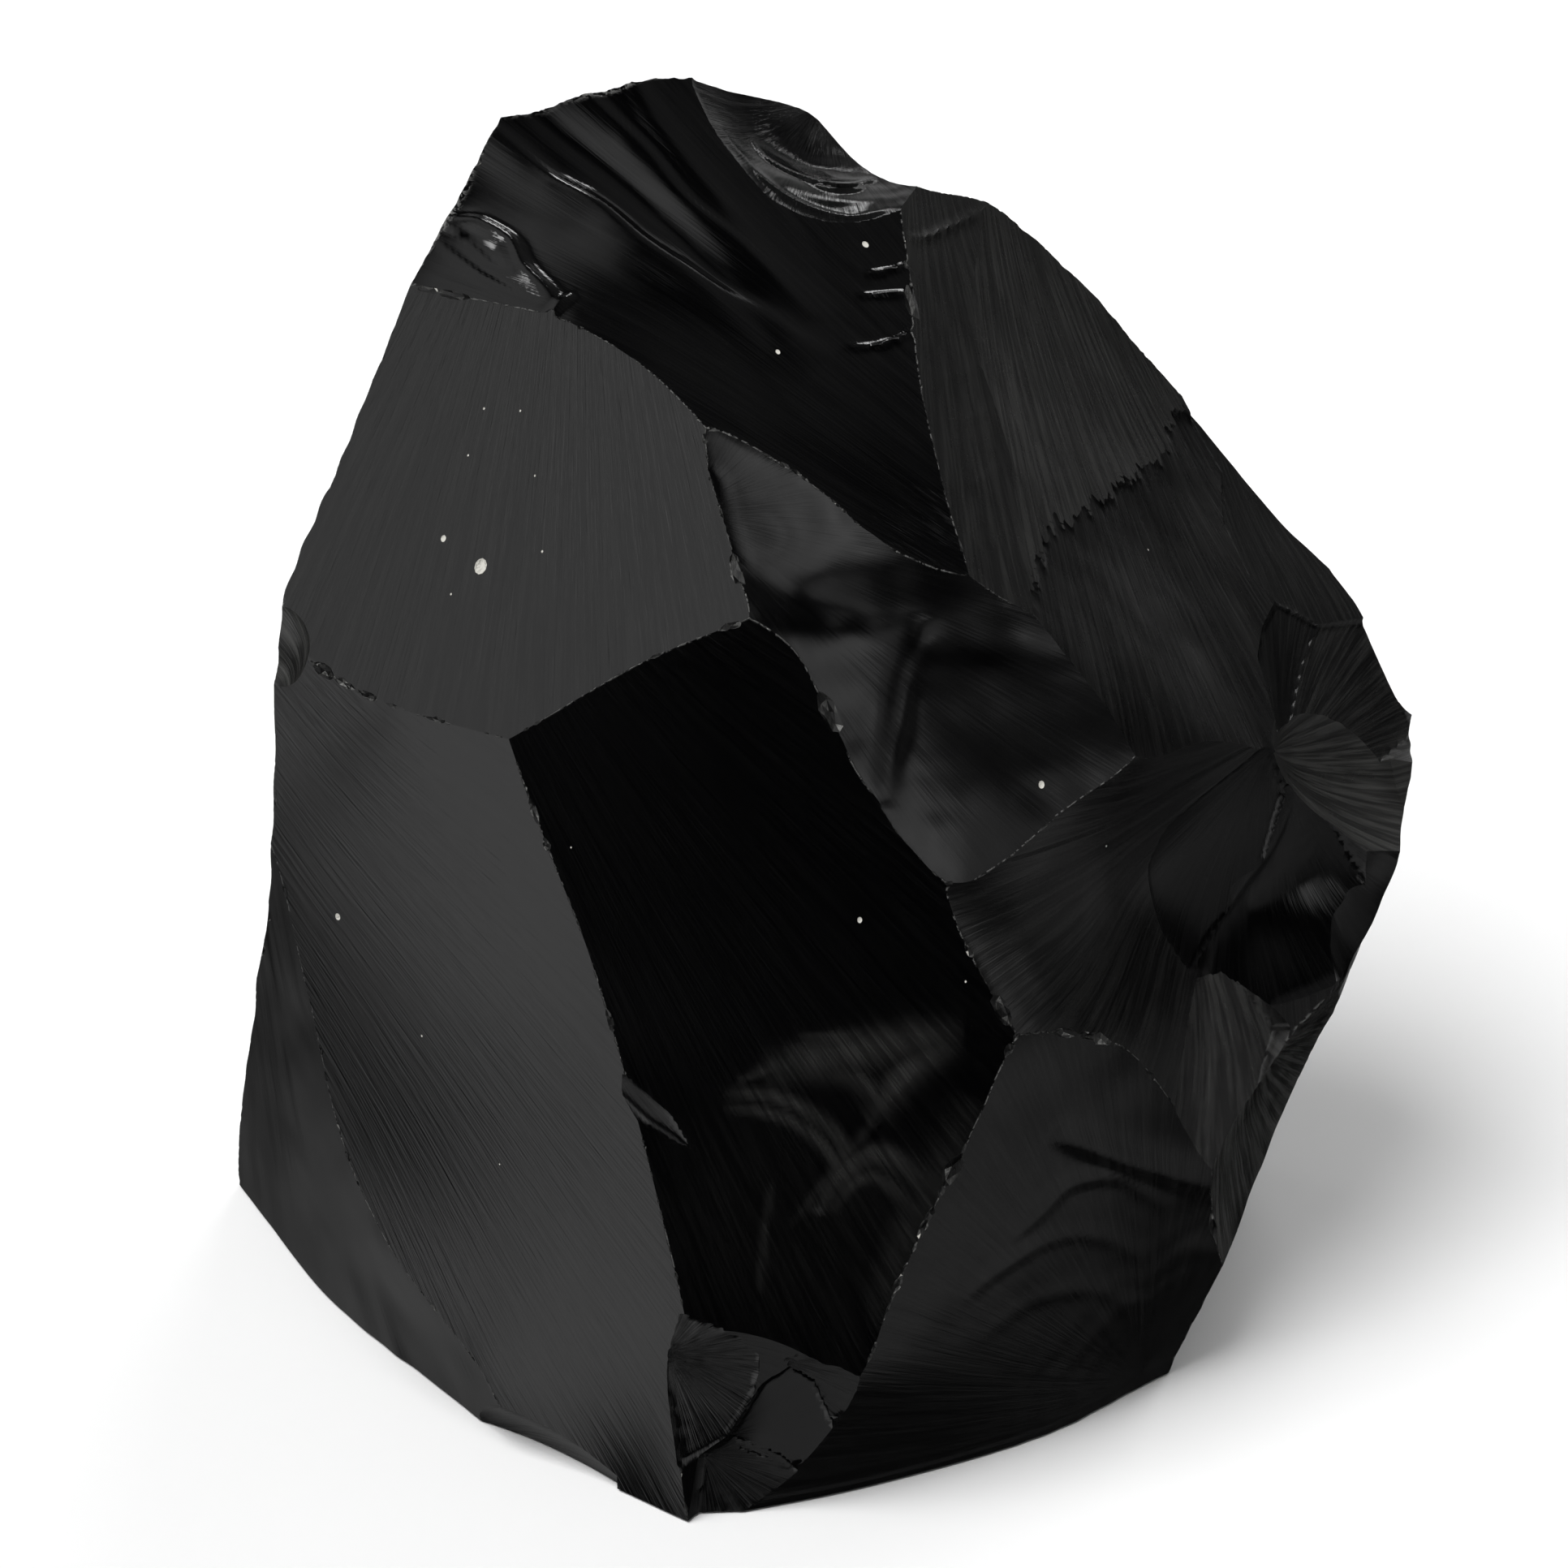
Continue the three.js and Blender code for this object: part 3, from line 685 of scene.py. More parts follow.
def scars():
    """Flake scars. Those on a face have an outline on it and drop below it, by a depth at each point."""
    # The scars' frost amounts, too, are frost and painted sheen.
    # the right slope's lower half, under a feathered edge
    Fracture("lower slope", [(15.5, -5, 62), (16.5, 0, 62.5), (17.5, 4.5, 62), (19, 7.5, 61.5),
                             (20.5, 10.5, 60.5), (21.5, 13, 60), (22, 15, 59.5), (23.5, 18.5, 59),
                             (25.5, 22.5, 58.5), (26, 25.5, 58.5), (29.5, 33, 58), (40, 38, 46),
                             (47, 22, 41), (40, 8, 43), (33.5, 0, 46), (24, -12, 51), (17, -16, 56)],
             on="right slope", drops=[0, 0, 0, 0, 0, 0, 0, 0, 0, 0, -0.4, -1.2, -1.5, -1.3, -0.9, -0.3, 0],
             floor=[(26, 12, 55, -0.7)], wall=0.7, feather=(1.6, 0.55), cell=0.35, blow=(12, 44, 82),
             hackle=(0.02, 0.8), swell=(0.06, 5), satin=0.28, grain=0.8, frosted=0.08, soft=7)
    Fracture("outer slope", [(29, 30.5, 58.5), (32, 27.5, 54.5), (32, 22.5, 53), (33.5, 19.5, 50.5),
                             (35.5, 19, 48.5), (38.5, 20, 46), (44, 18, 42), (48, 30, 41), (39, 34, 48.5)],
             on="right slope", drops=[-0.6, -0.7, -0.9, -1.1, -1.3, -1.5, -2.0, -1.8, -0.9], cell=0.35,
             blow=(26, 44, 66), hackle=(0.03, 0.8), satin=0.25, grain=0.8, frosted=0.07)
    Fracture("leaf", [(35.5, 19, 48.5), (34.5, 15.5, 48.5), (34, 12, 48), (34.5, 10, 47), (35.5, 7, 45.5),
                      (37, 8, 45), (37.5, 16, 45.5), (38.5, 20, 46)],
             on="right slope", drops=[-1.4, -1.4, -1.4, -1.4, -1.6, -1.9, -1.9, -1.7],
             blow=(36, 4, 44), hackle=(0.02, 0.6), satin=0.25, grain=0.8, frosted=0.03)
    Fracture("outer leaf", [(38.5, 20, 46), (37.5, 16, 45.5), (36.5, 11, 45), (37, 5, 44), (42, 7, 41.5),
                            (47, 18.5, 39.5), (43.5, 22.5, 41.5), (42.5, 25, 43)],
             on="right slope", drops=[-1.7, -1.8, -1.8, -1.9, -2.4, -2.6, -2.3, -2.0],
             blow=(36, 4, 44), hackle=(0.03, 0.6), satin=0.25, grain=0.9, frosted=0.1)
    # scars in the right bowl
    Fracture("bowl leaf", [(33.5, 4, 45), (29.5, -1, 44), (28, -2.5, 43.5), (26.5, -4, 43),
                           (25.5, -5.5, 40.5), (26.5, -6.5, 36), (28, -6, 32.5), (30, -3.5, 34),
                           (34, 0, 36), (36, 3, 41)],
             on="right bowl", drops=[-0.3, -0.2, -0.1, 0, 0, 0, -0.1, -0.6, -1.0, -1.0],
             blow=(35, 3, 45), hackle=(0.02, 0.7), satin=0.18, grain=0.6)
    Fracture("bowl pit", [(36, 4, 41.5), (33.5, 1.5, 41), (33.5, 0.5, 38), (32.5, -0.5, 37.5),
                          (30.5, -3, 36.5), (29, -4.5, 35.5), (28.5, -6, 32), (29.5, -6.5, 29), (33, -3, 28),
                          (38, 1.5, 28), (42, 5, 32.5), (40, 4.5, 38)],
             on="right bowl", floor=[(34, 0, 34, -2.3), (37, 2.5, 34, -2.4)], blow=(36, 3, 43),
             drops=[-0.6, -0.6, -0.7, -0.7, -0.4, -0.3, 0, 0, 0, -0.6, -1.4, -1.0],
             hackle=(0.03, 0.7), swell=(0.04, 3), satin=0.16, grain=0.6, creases=PIT_RIB)
    Fracture("bowl apron", [(28.5, -6, 32), (27.5, -8, 30), (26.5, -9.5, 27.5), (26, -11, 25),
                            (25.5, -12.5, 22), (29.5, -11, 18), (32.5, -6, 22), (34.5, -3.5, 26.5),
                            (31, -4, 31.5)],
             on="right bowl", drops=[-0.2, 0, 0, 0, 0, -0.5, -0.9, -0.9, -0.5],
             blow=(30, -4, 40), hackle=(0.05, 0.7), satin=0.25, grain=1.0, frosted=0.2)
    Bowl("struck disc", at=(37.5, 10.1, 40.3), faces=(0.78, -0.38, 0.5), runs=(0.61, 0.65, -0.46),
         half=(6.0, 5.2), depth=1.1, blow=(33.5, 4.5, 44), hackle=(0.02, 0.6), satin=0.3, grain=0.6,
         frosted=0.36)
    # a splinter on the dark face's keel
    Fracture("keel splinter", [(-11.5, -17, 32.5), (-7.5, -17.5, 29), (-6, -18.5, 26.5), (-9, -18, 28.5),
                               (-11, -17.5, 30.5)],
             on="dark face", drops=[-0.1, 0, 0, -0.35, -0.35], wall=1.0, satin=0.1)
    # flakes off the toe
    Fracture("toe left", [(-8, -21, 15.5), (-3.5, -21.5, 14), (-1.5, -22, 12.5), (-2, -22.5, 9.5),
                          (-4, -23, 6), (-7, -23, 4), (-8, -22, 10.5)],
             on="toe", drops=[-0.6, 0, 0, -0.15, -0.25, -0.5, -0.7], blow=(-8, -22, 12),
             hackle=(0.06, 0.5), satin=0.15, grain=1.0)
    Fracture("toe right", [(-0.5, -22, 12), (1.5, -22, 12.5), (5.5, -22, 14), (7, -22.5, 10.5),
                           (4.5, -22.5, 8), (3, -23, 7.5), (2, -22.5, 10), (0.5, -22, 11)],
             on="toe", drops=[0, 0, 0, -0.3, -0.4, -0.3, -0.1, -0.05], hackle=(0.03, 0.6),
             satin=0.15, grain=0.8)
    Fracture("toe thumb", [(-3.8, -23, 6), (-1.5, -22.5, 10), (0.5, -22, 11.5), (2, -22.5, 10.5),
                           (3.2, -23, 7.5), (4, -23.5, 5), (0, -23.5, 3.5), (-3.5, -23, 5)],
             on="toe", drops=[-0.25, -0.1, 0, -0.15, -0.4, -0.6, -0.9, -0.6], satin=0.12)
    Fracture("toe tip", [(-5.5, -23, 4.5), (-3.5, -23, 6), (0, -23.5, 4.5), (2, -24, 2), (0, -24, -1),
                         (-6, -24, -1)],
             on="toe", drops=[-0.5, -0.5, -0.85, -1.2, -1.4, -1.1], hackle=(0.04, 0.6), satin=0.15)
    # the ringed bowl struck into the back edge of the crown
    Fracture("crown bowl", [(-6.3, 30, 81), (-5, 26.5, 80.5), (-3, 23.5, 79), (-1.5, 21.5, 78), (0.5, 20, 77),
                            (3.5, 19.5, 76.5), (6, 20.5, 76), (8.5, 22, 76), (12, 28, 77), (9, 36, 78),
                            (1, 40, 80), (-6, 36, 82)],
             on="crown", drops=[-0.2, 0, 0, 0, 0, 0, 0, 0, -1.6, -2.0, -2.1, -1.2],
             floor=[(0.5, 24.5, 78, -1.0), (3.5, 23.5, 77.5, -0.8), (-2.8, 28, 79, -1.7), (2, 27.5, 78, -2.6),
                    (6, 26.5, 77.5, -2.0), (-2.8, 30.5, 80, -2.0), (2, 31, 79, -2.2)],
             wall=0.8, cell=0.22, blow=(3, 33, 80), ripple=(0.015, 1.3), hackle=(0.02, 0.5), satin=0.08,
             grain=0.8, creases=BOWL_RINGS)
    # the nick where the two left-hand faces meet the flank
    Bowl("hip nick", at=(-33, -3.5, 56.5), faces=(-0.85, -0.45, 0.25), runs=(0.2, 0.1, 1), half=(3.8, 2.4),
         depth=1.4, cell=0.25, hackle=(0.05, 0.6), swell=(0.08, 2), satin=0.3, grain=1.0, frosted=0.3)
    # a flake off the foot
    Bowl("foot flake", at=(-18.4, -15.1, 1.1), faces=(-0.5, -0.75, -0.45), runs=(0.75, -0.66, 0),
         half=(7, 3.2), depth=0.6, hackle=(0.06, 0.8), satin=0.15, grain=1.0)
    # a spall on the right, under the point of the blow
    Bowl("cheek spall", at=(39, 3, 33), faces=(0.9, -0.4, 0), runs=(0.2, 0.1, 1), half=(5.5, 4), depth=1.6,
         cell=0.35, blow=(38, 2, 40), hackle=(0.1, 0.9), satin=0.15, grain=0.8)
    # flakes on the hidden side; the last one lies just outside the stone and cuts nothing
    Bowl("brim flake", at=(24, 34, 62), faces=(0.4, 0.75, 0.5), runs=(0.6, 0, -0.8), half=(9, 6), depth=2.2,
         cell=0.5, ripple=(0.12, 2), hackle=(0.08, 1.2))
    Bowl("left back flake", at=(-30, 29, 40), faces=(-0.75, 0.65, 0.1), runs=(0, 0.1, 1), half=(10, 7),
         depth=2.4, cell=0.5, ripple=(0.14, 2.2), hackle=(0.08, 1.2))
    Bowl("back foot flake", at=(8, 37, 10), faces=(0.1, 0.95, -0.25), runs=(1, 0, 0.1), half=(12, 7), depth=2,
         cell=0.5, ripple=(0.14, 2.4), hackle=(0.08, 1.2))


# ---------------------------------------------------------------- chips along the ridges

CHIP = 900          # source number of a chip's own faces
SPECK = 901         # and of a speck's
RIDGE_TURN = math.radians(24)  # faces that meet at more than this make a ridge that chips
SHARP_TURN = math.radians(35)  # and at more than this an edge inside one fracture is drawn sharp
LOWEST_RIDGE = 0.3  # mm above the ground below which nothing chips
SHORTEST = 1e-5     # mm, shorter bits of ridge are left out
CHIP_GAP = 0.95     # mm of ridge for each chip
CHIP_SIZE = 0.125   # mm, the middle one's radius
CHIP_SPREAD = 0.6   # how unlike in size they are
CHIP_LIMITS = (0.06, 0.8)  # mm, the smallest and the largest
CHIP_STRETCH = (1.2, 2.8)  # how many times longer along the ridge
CHIP_LIFT = (0.35, 0.75)   # how far out of the ridge, in radii
CHIP_CLEARANCE = 1.15      # how far apart chips of one set stay, in reaches
FINE_CHIP = 0.35    # mm, larger chips have more faces
RAGGED = 0.16       # how uneven a chip is
SPECK_SHAPE = (1, 1.35, 0.35)
BATTERED = [        # where ridges are more crushed: place, how far round it, more chips, larger chips
    ((-23, 19, 79), 9, 2.5, 1.0),
    ((-14, 27, 82), 8, 2.5, 1.0),
    ((-31, -4, 56), 5, 2.5, 1.4),
    ((10.5, -20, 20), 6, 3.0, 1.6),
    ((19, -16.5, 35), 5, 3.0, 1.7),
    ((10, 8, 71), 14, 1.5, 1.0),
    ((4, -22.5, 8), 6, 2.0, 1.4),
    ((16, -6, 61), 3, 2.0, 1.3),
    ((42, 24, 45), 6, 1.5, 1.3),
]
SPECKS = [          # pale mineral specks: place and radius
    ((-20, -2.5, 62), 0.42), ((-22.5, -0.5, 63), 0.18), ((-20, 5, 70), 0.07), ((-17.5, 4.5, 70), 0.06),
    ((-16, -3, 63.5), 0.07), ((-16.5, 1, 67), 0.06), ((-22, -3.5, 60.5), 0.06), ((-21, 3, 67.5), 0.06),
    ((-30, -6.5, 37.5), 0.2), ((17, -10.5, 50), 0.2), ((5, -14.5, 42), 0.16), ((-0.5, 8, 72), 0.16),
    ((5.5, 18.5, 75.5), 0.22), ((-14, -14, 47), 0.05), ((-24, -9, 30), 0.06), ((-19, -13, 22), 0.05),
    ((22, -9, 44), 0.06), ((27, 12, 57), 0.06), ((12, -16, 38), 0.07), ((10, 36, 40), 0.25),
    ((-20, 34, 50), 0.2), ((-38, 12, 35), 0.2), ((38, 12, 30), 0.15), ((-12, 36, 25), 0.15),
]


def faces_of(mesh):
    """The source number and the outward normal of each face of a mesh."""
    source = np.empty(len(mesh.polygons), np.int32)
    mesh.attributes["source"].data.foreach_get("value", source)
    normal = np.empty(len(mesh.polygons) * 3, np.float32)
    mesh.polygons.foreach_get("normal", normal)
    return source, normal.reshape(-1, 3)


def edge_faces(mesh):
    """The vertices and the two faces at each edge of a closed mesh, the sources and normals of all faces,
    and how far the skin turns at each edge."""
    ends = np.empty(len(mesh.edges) * 2, np.int64)
    mesh.edges.foreach_get("vertices", ends)
    edge = np.empty(len(mesh.loops), np.int64)
    mesh.loops.foreach_get("edge_index", edge)
    total = np.empty(len(mesh.polygons), np.int64)
    mesh.polygons.foreach_get("loop_total", total)
    owner = np.repeat(np.arange(len(total)), total)
    order = np.argsort(edge, kind="stable")
    one, two = owner[order].reshape(-1, 2).T
    source, normal = faces_of(mesh)
    turn = np.arccos(np.clip(np.sum(normal[one] * normal[two], axis=1), -1, 1))
    return ends.reshape(-1, 2), one, two, source, normal, turn


def points_of(mesh):
    place = np.empty(len(mesh.vertices) * 3, np.float32)
    mesh.vertices.foreach_get("co", place)
    return place.reshape(-1, 3).astype(float)


def ridges(mesh):
    """The middles, directions, lengths and outward directions of the stone's sharp ridges."""
    ends, one, two, source, normal, turn = edge_faces(mesh)
    at = points_of(mesh)
    start, stop = at[ends[:, 0]], at[ends[:, 1]]
    brittle = np.array([True] + [not f.scar for f in Fracture.made.values()])
    keep = (source[one] != source[two]) & (turn > RIDGE_TURN) & brittle[source[one]] & brittle[source[two]]
    keep &= np.maximum(start[:, 2], stop[:, 2]) > LOWEST_RIDGE
    start, stop = start[keep], stop[keep]
    out = normal[one][keep] + normal[two][keep]
    out /= np.maximum(np.linalg.norm(out, axis=1, keepdims=True), TINY)
    run = stop - start
    length = np.linalg.norm(run, axis=1)
    good = length > SHORTEST
    run = run[good] / length[good, None]
    return start[good], stop[good], run, length[good], out[good]


def batter(place):
    """How much more chipped a ridge is at a place: the share of chips and their size."""
    more, larger = np.ones(len(place)), np.ones(len(place))
    for at, reach, crowd, size in BATTERED:
        near = np.linalg.norm(place - np.array(at), axis=1) < reach
        more[near] = crowd
        larger[near] = size
    return more, larger


def chip_cutters(mesh):
    """Small ragged pebbles of empty space along the ridges, sorted so that none in a set overlap."""
    rng = np.random.default_rng(SEED)
    start, stop, run, length, out = ridges(mesh)
    more, larger = batter((start + stop) / 2)
    weight = length * more
    count = int(weight.sum() / CHIP_GAP)
    picked = rng.choice(len(weight), count, p=weight / weight.sum())
    size = np.clip(CHIP_SIZE * np.exp(CHIP_SPREAD * rng.standard_normal(count)), *CHIP_LIMITS)
    size *= larger[picked]
    stretch = rng.uniform(*CHIP_STRETCH, count)
    part = rng.random((count, 1))
    at = start[picked] * (1 - part) + stop[picked] * part
    at = at + out[picked] * (size * rng.uniform(*CHIP_LIFT, count))[:, None]
    reach = size * stretch * CHIP_CLEARANCE
    sets = []
    for i in np.argsort(-size):
        for chips in sets:
            if all(np.linalg.norm(at[i] - at[j]) > reach[i] + reach[j] for j in chips):
                chips.append(i)
                break
        else:
            sets.append([i])
    tools = []
    for chips in sets:
        bm = bmesh.new()
        for i in chips:
            across = np.cross(out[picked[i]], run[picked[i]])
            axes = np.stack([run[picked[i]] * stretch[i], across, out[picked[i]]]) * size[i]
            turn = Matrix(axes.T).to_4x4()
            turn.translation = at[i]
            pebble = bmesh.ops.create_icosphere(bm, subdivisions=2 if size[i] > FINE_CHIP else 1, radius=1)
            for v in pebble["verts"]:
                v.co *= 1 + rng.uniform(-RAGGED, RAGGED)
            bmesh.ops.transform(bm, verts=pebble["verts"], matrix=turn)
        tools.append(marked_tool(bm, CHIP))
    return tools


def marked_tool(bm, number):
    """A cutter whose faces all carry one source number."""
    bmesh.ops.recalc_face_normals(bm, faces=bm.faces)
    source = bm.faces.layers.int.new("source")
    for face in bm.faces:
        face[source] = number
    mesh = bpy.data.meshes.new("chips")
    bm.to_mesh(mesh)
    bm.free()
    return link("chips", mesh)


def speck_cutter(stone):
    """Shallow pits that the pale specks fill: each is moved to the nearest point of the stone's skin."""
    bm = bmesh.new()
    for at, radius in SPECKS:
        _, place, normal, _ = stone.closest_point_on_mesh(Vector(at))
        pit = bmesh.ops.create_icosphere(bm, subdivisions=2, radius=radius)
        bmesh.ops.scale(bm, verts=pit["verts"], vec=SPECK_SHAPE)
        turn = normal.to_track_quat("Z", "Y").to_matrix().to_4x4()
        turn.translation = place
        bmesh.ops.transform(bm, verts=pit["verts"], matrix=turn)
    return marked_tool(bm, SPECK)


# ---------------------------------------------------------------- the skin's own measures

WIDE_CRUSH = [      # where a ridge is crushed in a wider band: place, how far round it, how many times wider
    ((-22, 20, 80), 7, 7.0),
    ((-14, 27, 82), 7, 7.0),
    ((34, -5, 24), 9, 3.0),
    ((-32, -3, 57), 4, 3.0),
]
RIDGE_STEPS = (0, 0.33, 0.67)    # where along a bit of ridge its distance is taken from
BLOCK_GRAIN = 3                  # grain per mm on what is left of the block
SHEET_GAP = 17.0                 # keeps the grain of one sheet apart from the next one's
BLOCK_FINISH = (0.25, 0.3, 0)    # satin, drawn grain and frost of the block, a chip and a speck
CHIP_FINISH = (0.3, 0.6)         # a chip's frost is drawn by lot
SPECK_FINISH = (0.6, 0, 1)


def crushing(place):
    """How many times wider than elsewhere the crushed band is at each place, fading to once."""
    wider = np.ones(len(place))
    for at, reach, times in WIDE_CRUSH:
        gap = np.linalg.norm(place - np.array(at), axis=1)
        wider = np.maximum(wider, 1 + (times - 1) * np.clip(2 - 2 * gap / reach, 0, 1))
    return wider


def measure_skin(mesh, ridge_points):
    """Writes what the glass reads: grain along the fracture, distance to a ridge, satin, and frosting with
    painted sheen.
    """
    tree = kdtree.KDTree(len(ridge_points))
    for i, point in enumerate(ridge_points):
        tree.insert(point, i)
    tree.balance()
    at = points_of(mesh)
    near = np.array([tree.find(point)[2] for point in at]) / crushing(at)
    mesh.attributes.new("edge_mm", "FLOAT", "POINT").data.foreach_set("value", near.astype(np.float32))

    source, _ = faces_of(mesh)
    total = np.empty(len(mesh.polygons), np.int64)
    mesh.polygons.foreach_get("loop_total", total)
    corner = np.empty(len(mesh.loops), np.int64)
    mesh.loops.foreach_get("vertex_index", corner)
    source = np.repeat(source, total)
    grain = at[corner] * BLOCK_GRAIN
    finish = np.zeros((len(source), 3))
    finish[:] = BLOCK_FINISH
    for fracture in Fracture.made.values():
        mine = source == fracture.number
        flat = fracture.flat(at[corner[mine]])[:, :2]
        across, up = (flat - fracture.blow).T
        gap = np.hypot(across, up)
        mean = np.hypot(*fracture.blow) if np.hypot(*fracture.blow) > 1 else fracture.radius
        apart = np.full(len(gap), SHEET_GAP * fracture.number)
        grain[mine] = np.column_stack([np.arctan2(up, across) * mean, gap, apart])
        finish[mine, :2] = fracture.satin, fracture.grain
        finish[mine, 2] = fracture.frost(*flat.T)
    finish[source == SPECK] = SPECK_FINISH
    chips = source == CHIP
    finish[chips, :2] = CHIP_FINISH
    finish[chips, 2] = np.repeat(np.random.default_rng(SEED).random(len(total)) ** 3, total)[chips]
    mesh.attributes.new("grain", "FLOAT_VECTOR", "CORNER").data.foreach_set("vector", grain.ravel())
    mesh.attributes.new("finish", "FLOAT_VECTOR", "CORNER").data.foreach_set("vector", finish.ravel())


def crisp_edges(mesh):
    """Smooth skin on each fracture, and a sharp edge wherever two of them meet."""
    _, one, two, source, _, turn = edge_faces(mesh)
    chipped = (source[one] == CHIP) & (source[two] == CHIP)
    sharp = (source[one] != source[two]) | (turn > SHARP_TURN) | chipped
    mesh.polygons.foreach_set("use_smooth", np.ones(len(mesh.polygons), bool))
    mesh.attributes.new("sharp_edge", "BOOLEAN", "EDGE").data.foreach_set("value", sharp)


def make_stone():
    """Knaps the block in millimetres, measures its skin and scales it to metres."""
    big_faces()
    scars()
    stone = rough_block()
    carve(stone, [cutter(f) for f in Fracture.made.values()])
    start, stop, _, _, _ = ridges(stone.data)
    ridge_points = np.vstack([start * (1 - t) + stop * t for t in RIDGE_STEPS])
    carve(stone, chip_cutters(stone.data) + [speck_cutter(stone)])
    measure_skin(stone.data, ridge_points)
    crisp_edges(stone.data)
    stone.data.transform(Matrix.Scale(MM, 4))
    stone.data.update()
    return stone


# ---------------------------------------------------------------- shader sums

class Socket:
    """A shader value that takes part in sums. Sums of plain numbers stay in Python."""

    def __init__(self, tree, out):
        self.tree, self.out = tree, out

    def math(self, operation, *terms):
        return self.tree.node("ShaderNodeMath", {"operation": operation}, dict(enumerate(terms)))

    def __add__(self, other):
        return self.math("ADD", self, other)

    def __sub__(self, other):
        return self.math("SUBTRACT", self, other)

    def __rsub__(self, other):
        return self.math("SUBTRACT", other, self)

    def __mul__(self, other):
        return self.math("MULTIPLY", self, other)

    def clamp(self):
        return self.math("MINIMUM", self.math("MAXIMUM", self, 0), 1)

    __radd__ = __add__
    __rmul__ = __mul__


class Tree:
    """A node tree, with one way to add a node: its type, its settings and what feeds its sockets."""

    def __init__(self, tree):
        self.tree = tree
        tree.nodes.clear()

    def node(self, kind, settings=None, feeds=None, out=0):
        made = self.tree.nodes.new(kind)
        for key, value in (settings or {}).items():
            setattr(made, key, value)
        for key, value in (feeds or {}).items():
            if isinstance(value, Socket):
                self.tree.links.new(value.out, made.inputs[key])
            else:
                made.inputs[key].default_value = value
        return Socket(self, made.outputs[out]) if len(made.outputs) else None

    def mix(self, factor, low, high):
        """From one colour to another."""
        return self.node("ShaderNodeMix", {"data_type": "RGBA"}, {0: factor, 6: low, 7: high}, out=2)

    def step(self, value, low, high):
        """0 below low, 1 above high, smooth between."""
        return self.node("ShaderNodeMapRange", {"interpolation_type": "SMOOTHSTEP"},
                         {0: value, 1: low, 2: high, 3: 0.0, 4: 1.0})

    def noise(self, vector, scale, detail=2.0, rough=0.5):
        return self.node("ShaderNodeTexNoise", None,
                         {"Vector": vector, "Scale": scale, "Detail": detail, "Roughness": rough})

    def stretch(self, vector, scale):
        return self.node("ShaderNodeVectorMath", {"operation": "MULTIPLY"}, {0: vector, 1: scale})


def new_material(name):
    material = bpy.data.materials.new(name)
    material.use_nodes = True
    return material, Tree(material.node_tree)


# ---------------------------------------------------------------- the glass

GLASS = (0.0007, 0.0007, 0.0008, 1)
BANDED = (0.003, 0.003, 0.003, 1)
# pale haze: frost, and also painted sheen that lightens faces where they would mirror light
FROST_AND_SHEEN = (0.11, 0.11, 0.105, 1)
CRUSHED = (0.16, 0.16, 0.155, 1)
MINERAL = (0.50, 0.49, 0.45, 1)
GLASS_IOR = 1.5
CRUMBS = 2600.0     # grains of crushed glass per metre
MOTTLE = 420.0      # uneven polish
# the patches also break up the painted sheen of the frost haze
PATCHES = 160.0     # and how the crushing and the frost come and go
CRUSH_WIDTH = (0.06, 0.17)     # mm from a ridge where the crushing starts to fade, and ends
STREAK = (2.2, 0.07, 1)        # grain per mm across and along the way the fracture ran
FINE_STREAK = (7.0, 0.16, 1)
RELIEF_HEIGHT = 0.00006        # metres


def black_glass():
    """Black volcanic glass: mirror breaks, satin hollows, drawn grain, crushed pale ridges, and a pale haze
    of frosting and painted sheen.
    """
    material, t = new_material("black volcanic glass")
    place = t.node("ShaderNodeTexCoord", out="Object")
    grain = t.node("ShaderNodeAttribute", {"attribute_name": "grain"}, out="Vector")
    finish = t.node("ShaderNodeAttribute", {"attribute_name": "finish"}, out="Vector")
    edge = t.node("ShaderNodeAttribute", {"attribute_name": "edge_mm"}, out="Fac")
    satin, drawn, frost = (t.node("ShaderNodeSeparateXYZ", None, {0: finish}, out=i) for i in range(3))

    crumbs = t.noise(place, CRUMBS)
    patches = t.noise(place, PATCHES, 3.0, 0.6)
    worn = 1 - t.step(edge + crumbs * 0.14, *CRUSH_WIDTH)
    crushed = (worn * t.step(crumbs, 0.44, 0.60) * t.step(patches, 0.38, 0.64)).clamp()
    pale = (crushed + t.step(frost, 0.6, 0.9) * t.step(crumbs + patches, 0.85, 1.15)).clamp()
    speck = t.step(frost, 0.97, 0.99)

    streaks = t.noise(t.stretch(grain, STREAK), 1.0, 4.0, 0.65)
    fine = t.noise(t.stretch(grain, FINE_STREAK), 1.0, 2.0, 0.6)
    stripes = t.step(streaks * 0.6 + fine * 0.4, 0.42, 0.62)
    colour = t.mix(stripes * drawn, GLASS, BANDED)
    # painted sheen: the frost amount mixes in a pale haze that lightens faces where they would mirror light
    frost_and_sheen_haze = frost * (0.2 + stripes * 0.8 * drawn) * (0.4 + patches * 1.2)
    colour = t.mix(frost_and_sheen_haze.clamp(), colour, FROST_AND_SHEEN)
    colour = t.mix(pale, colour, CRUSHED)
    colour = t.mix(speck, colour, MINERAL)
    mottle = t.noise(place, MOTTLE, 3.0, 0.6)
    rough = satin + (streaks - 0.5) * drawn * 0.12 + (mottle - 0.5) * satin * 0.5 + pale * 0.45
    relief = (streaks * 0.6 + fine * 0.4) * drawn + mottle * satin * 0.6 + crumbs * pale * 2.0
    bump = t.node("ShaderNodeBump", None, {"Strength": 1.0, "Distance": RELIEF_HEIGHT, "Height": relief})
    shader = t.node("ShaderNodeBsdfPrincipled", None,
                    {"Base Color": colour, "Roughness": rough.clamp(), "IOR": GLASS_IOR, "Normal": bump})
    t.node("ShaderNodeOutputMaterial", None, {0: shader})
    return material


# ---------------------------------------------------------------- floor, light and camera

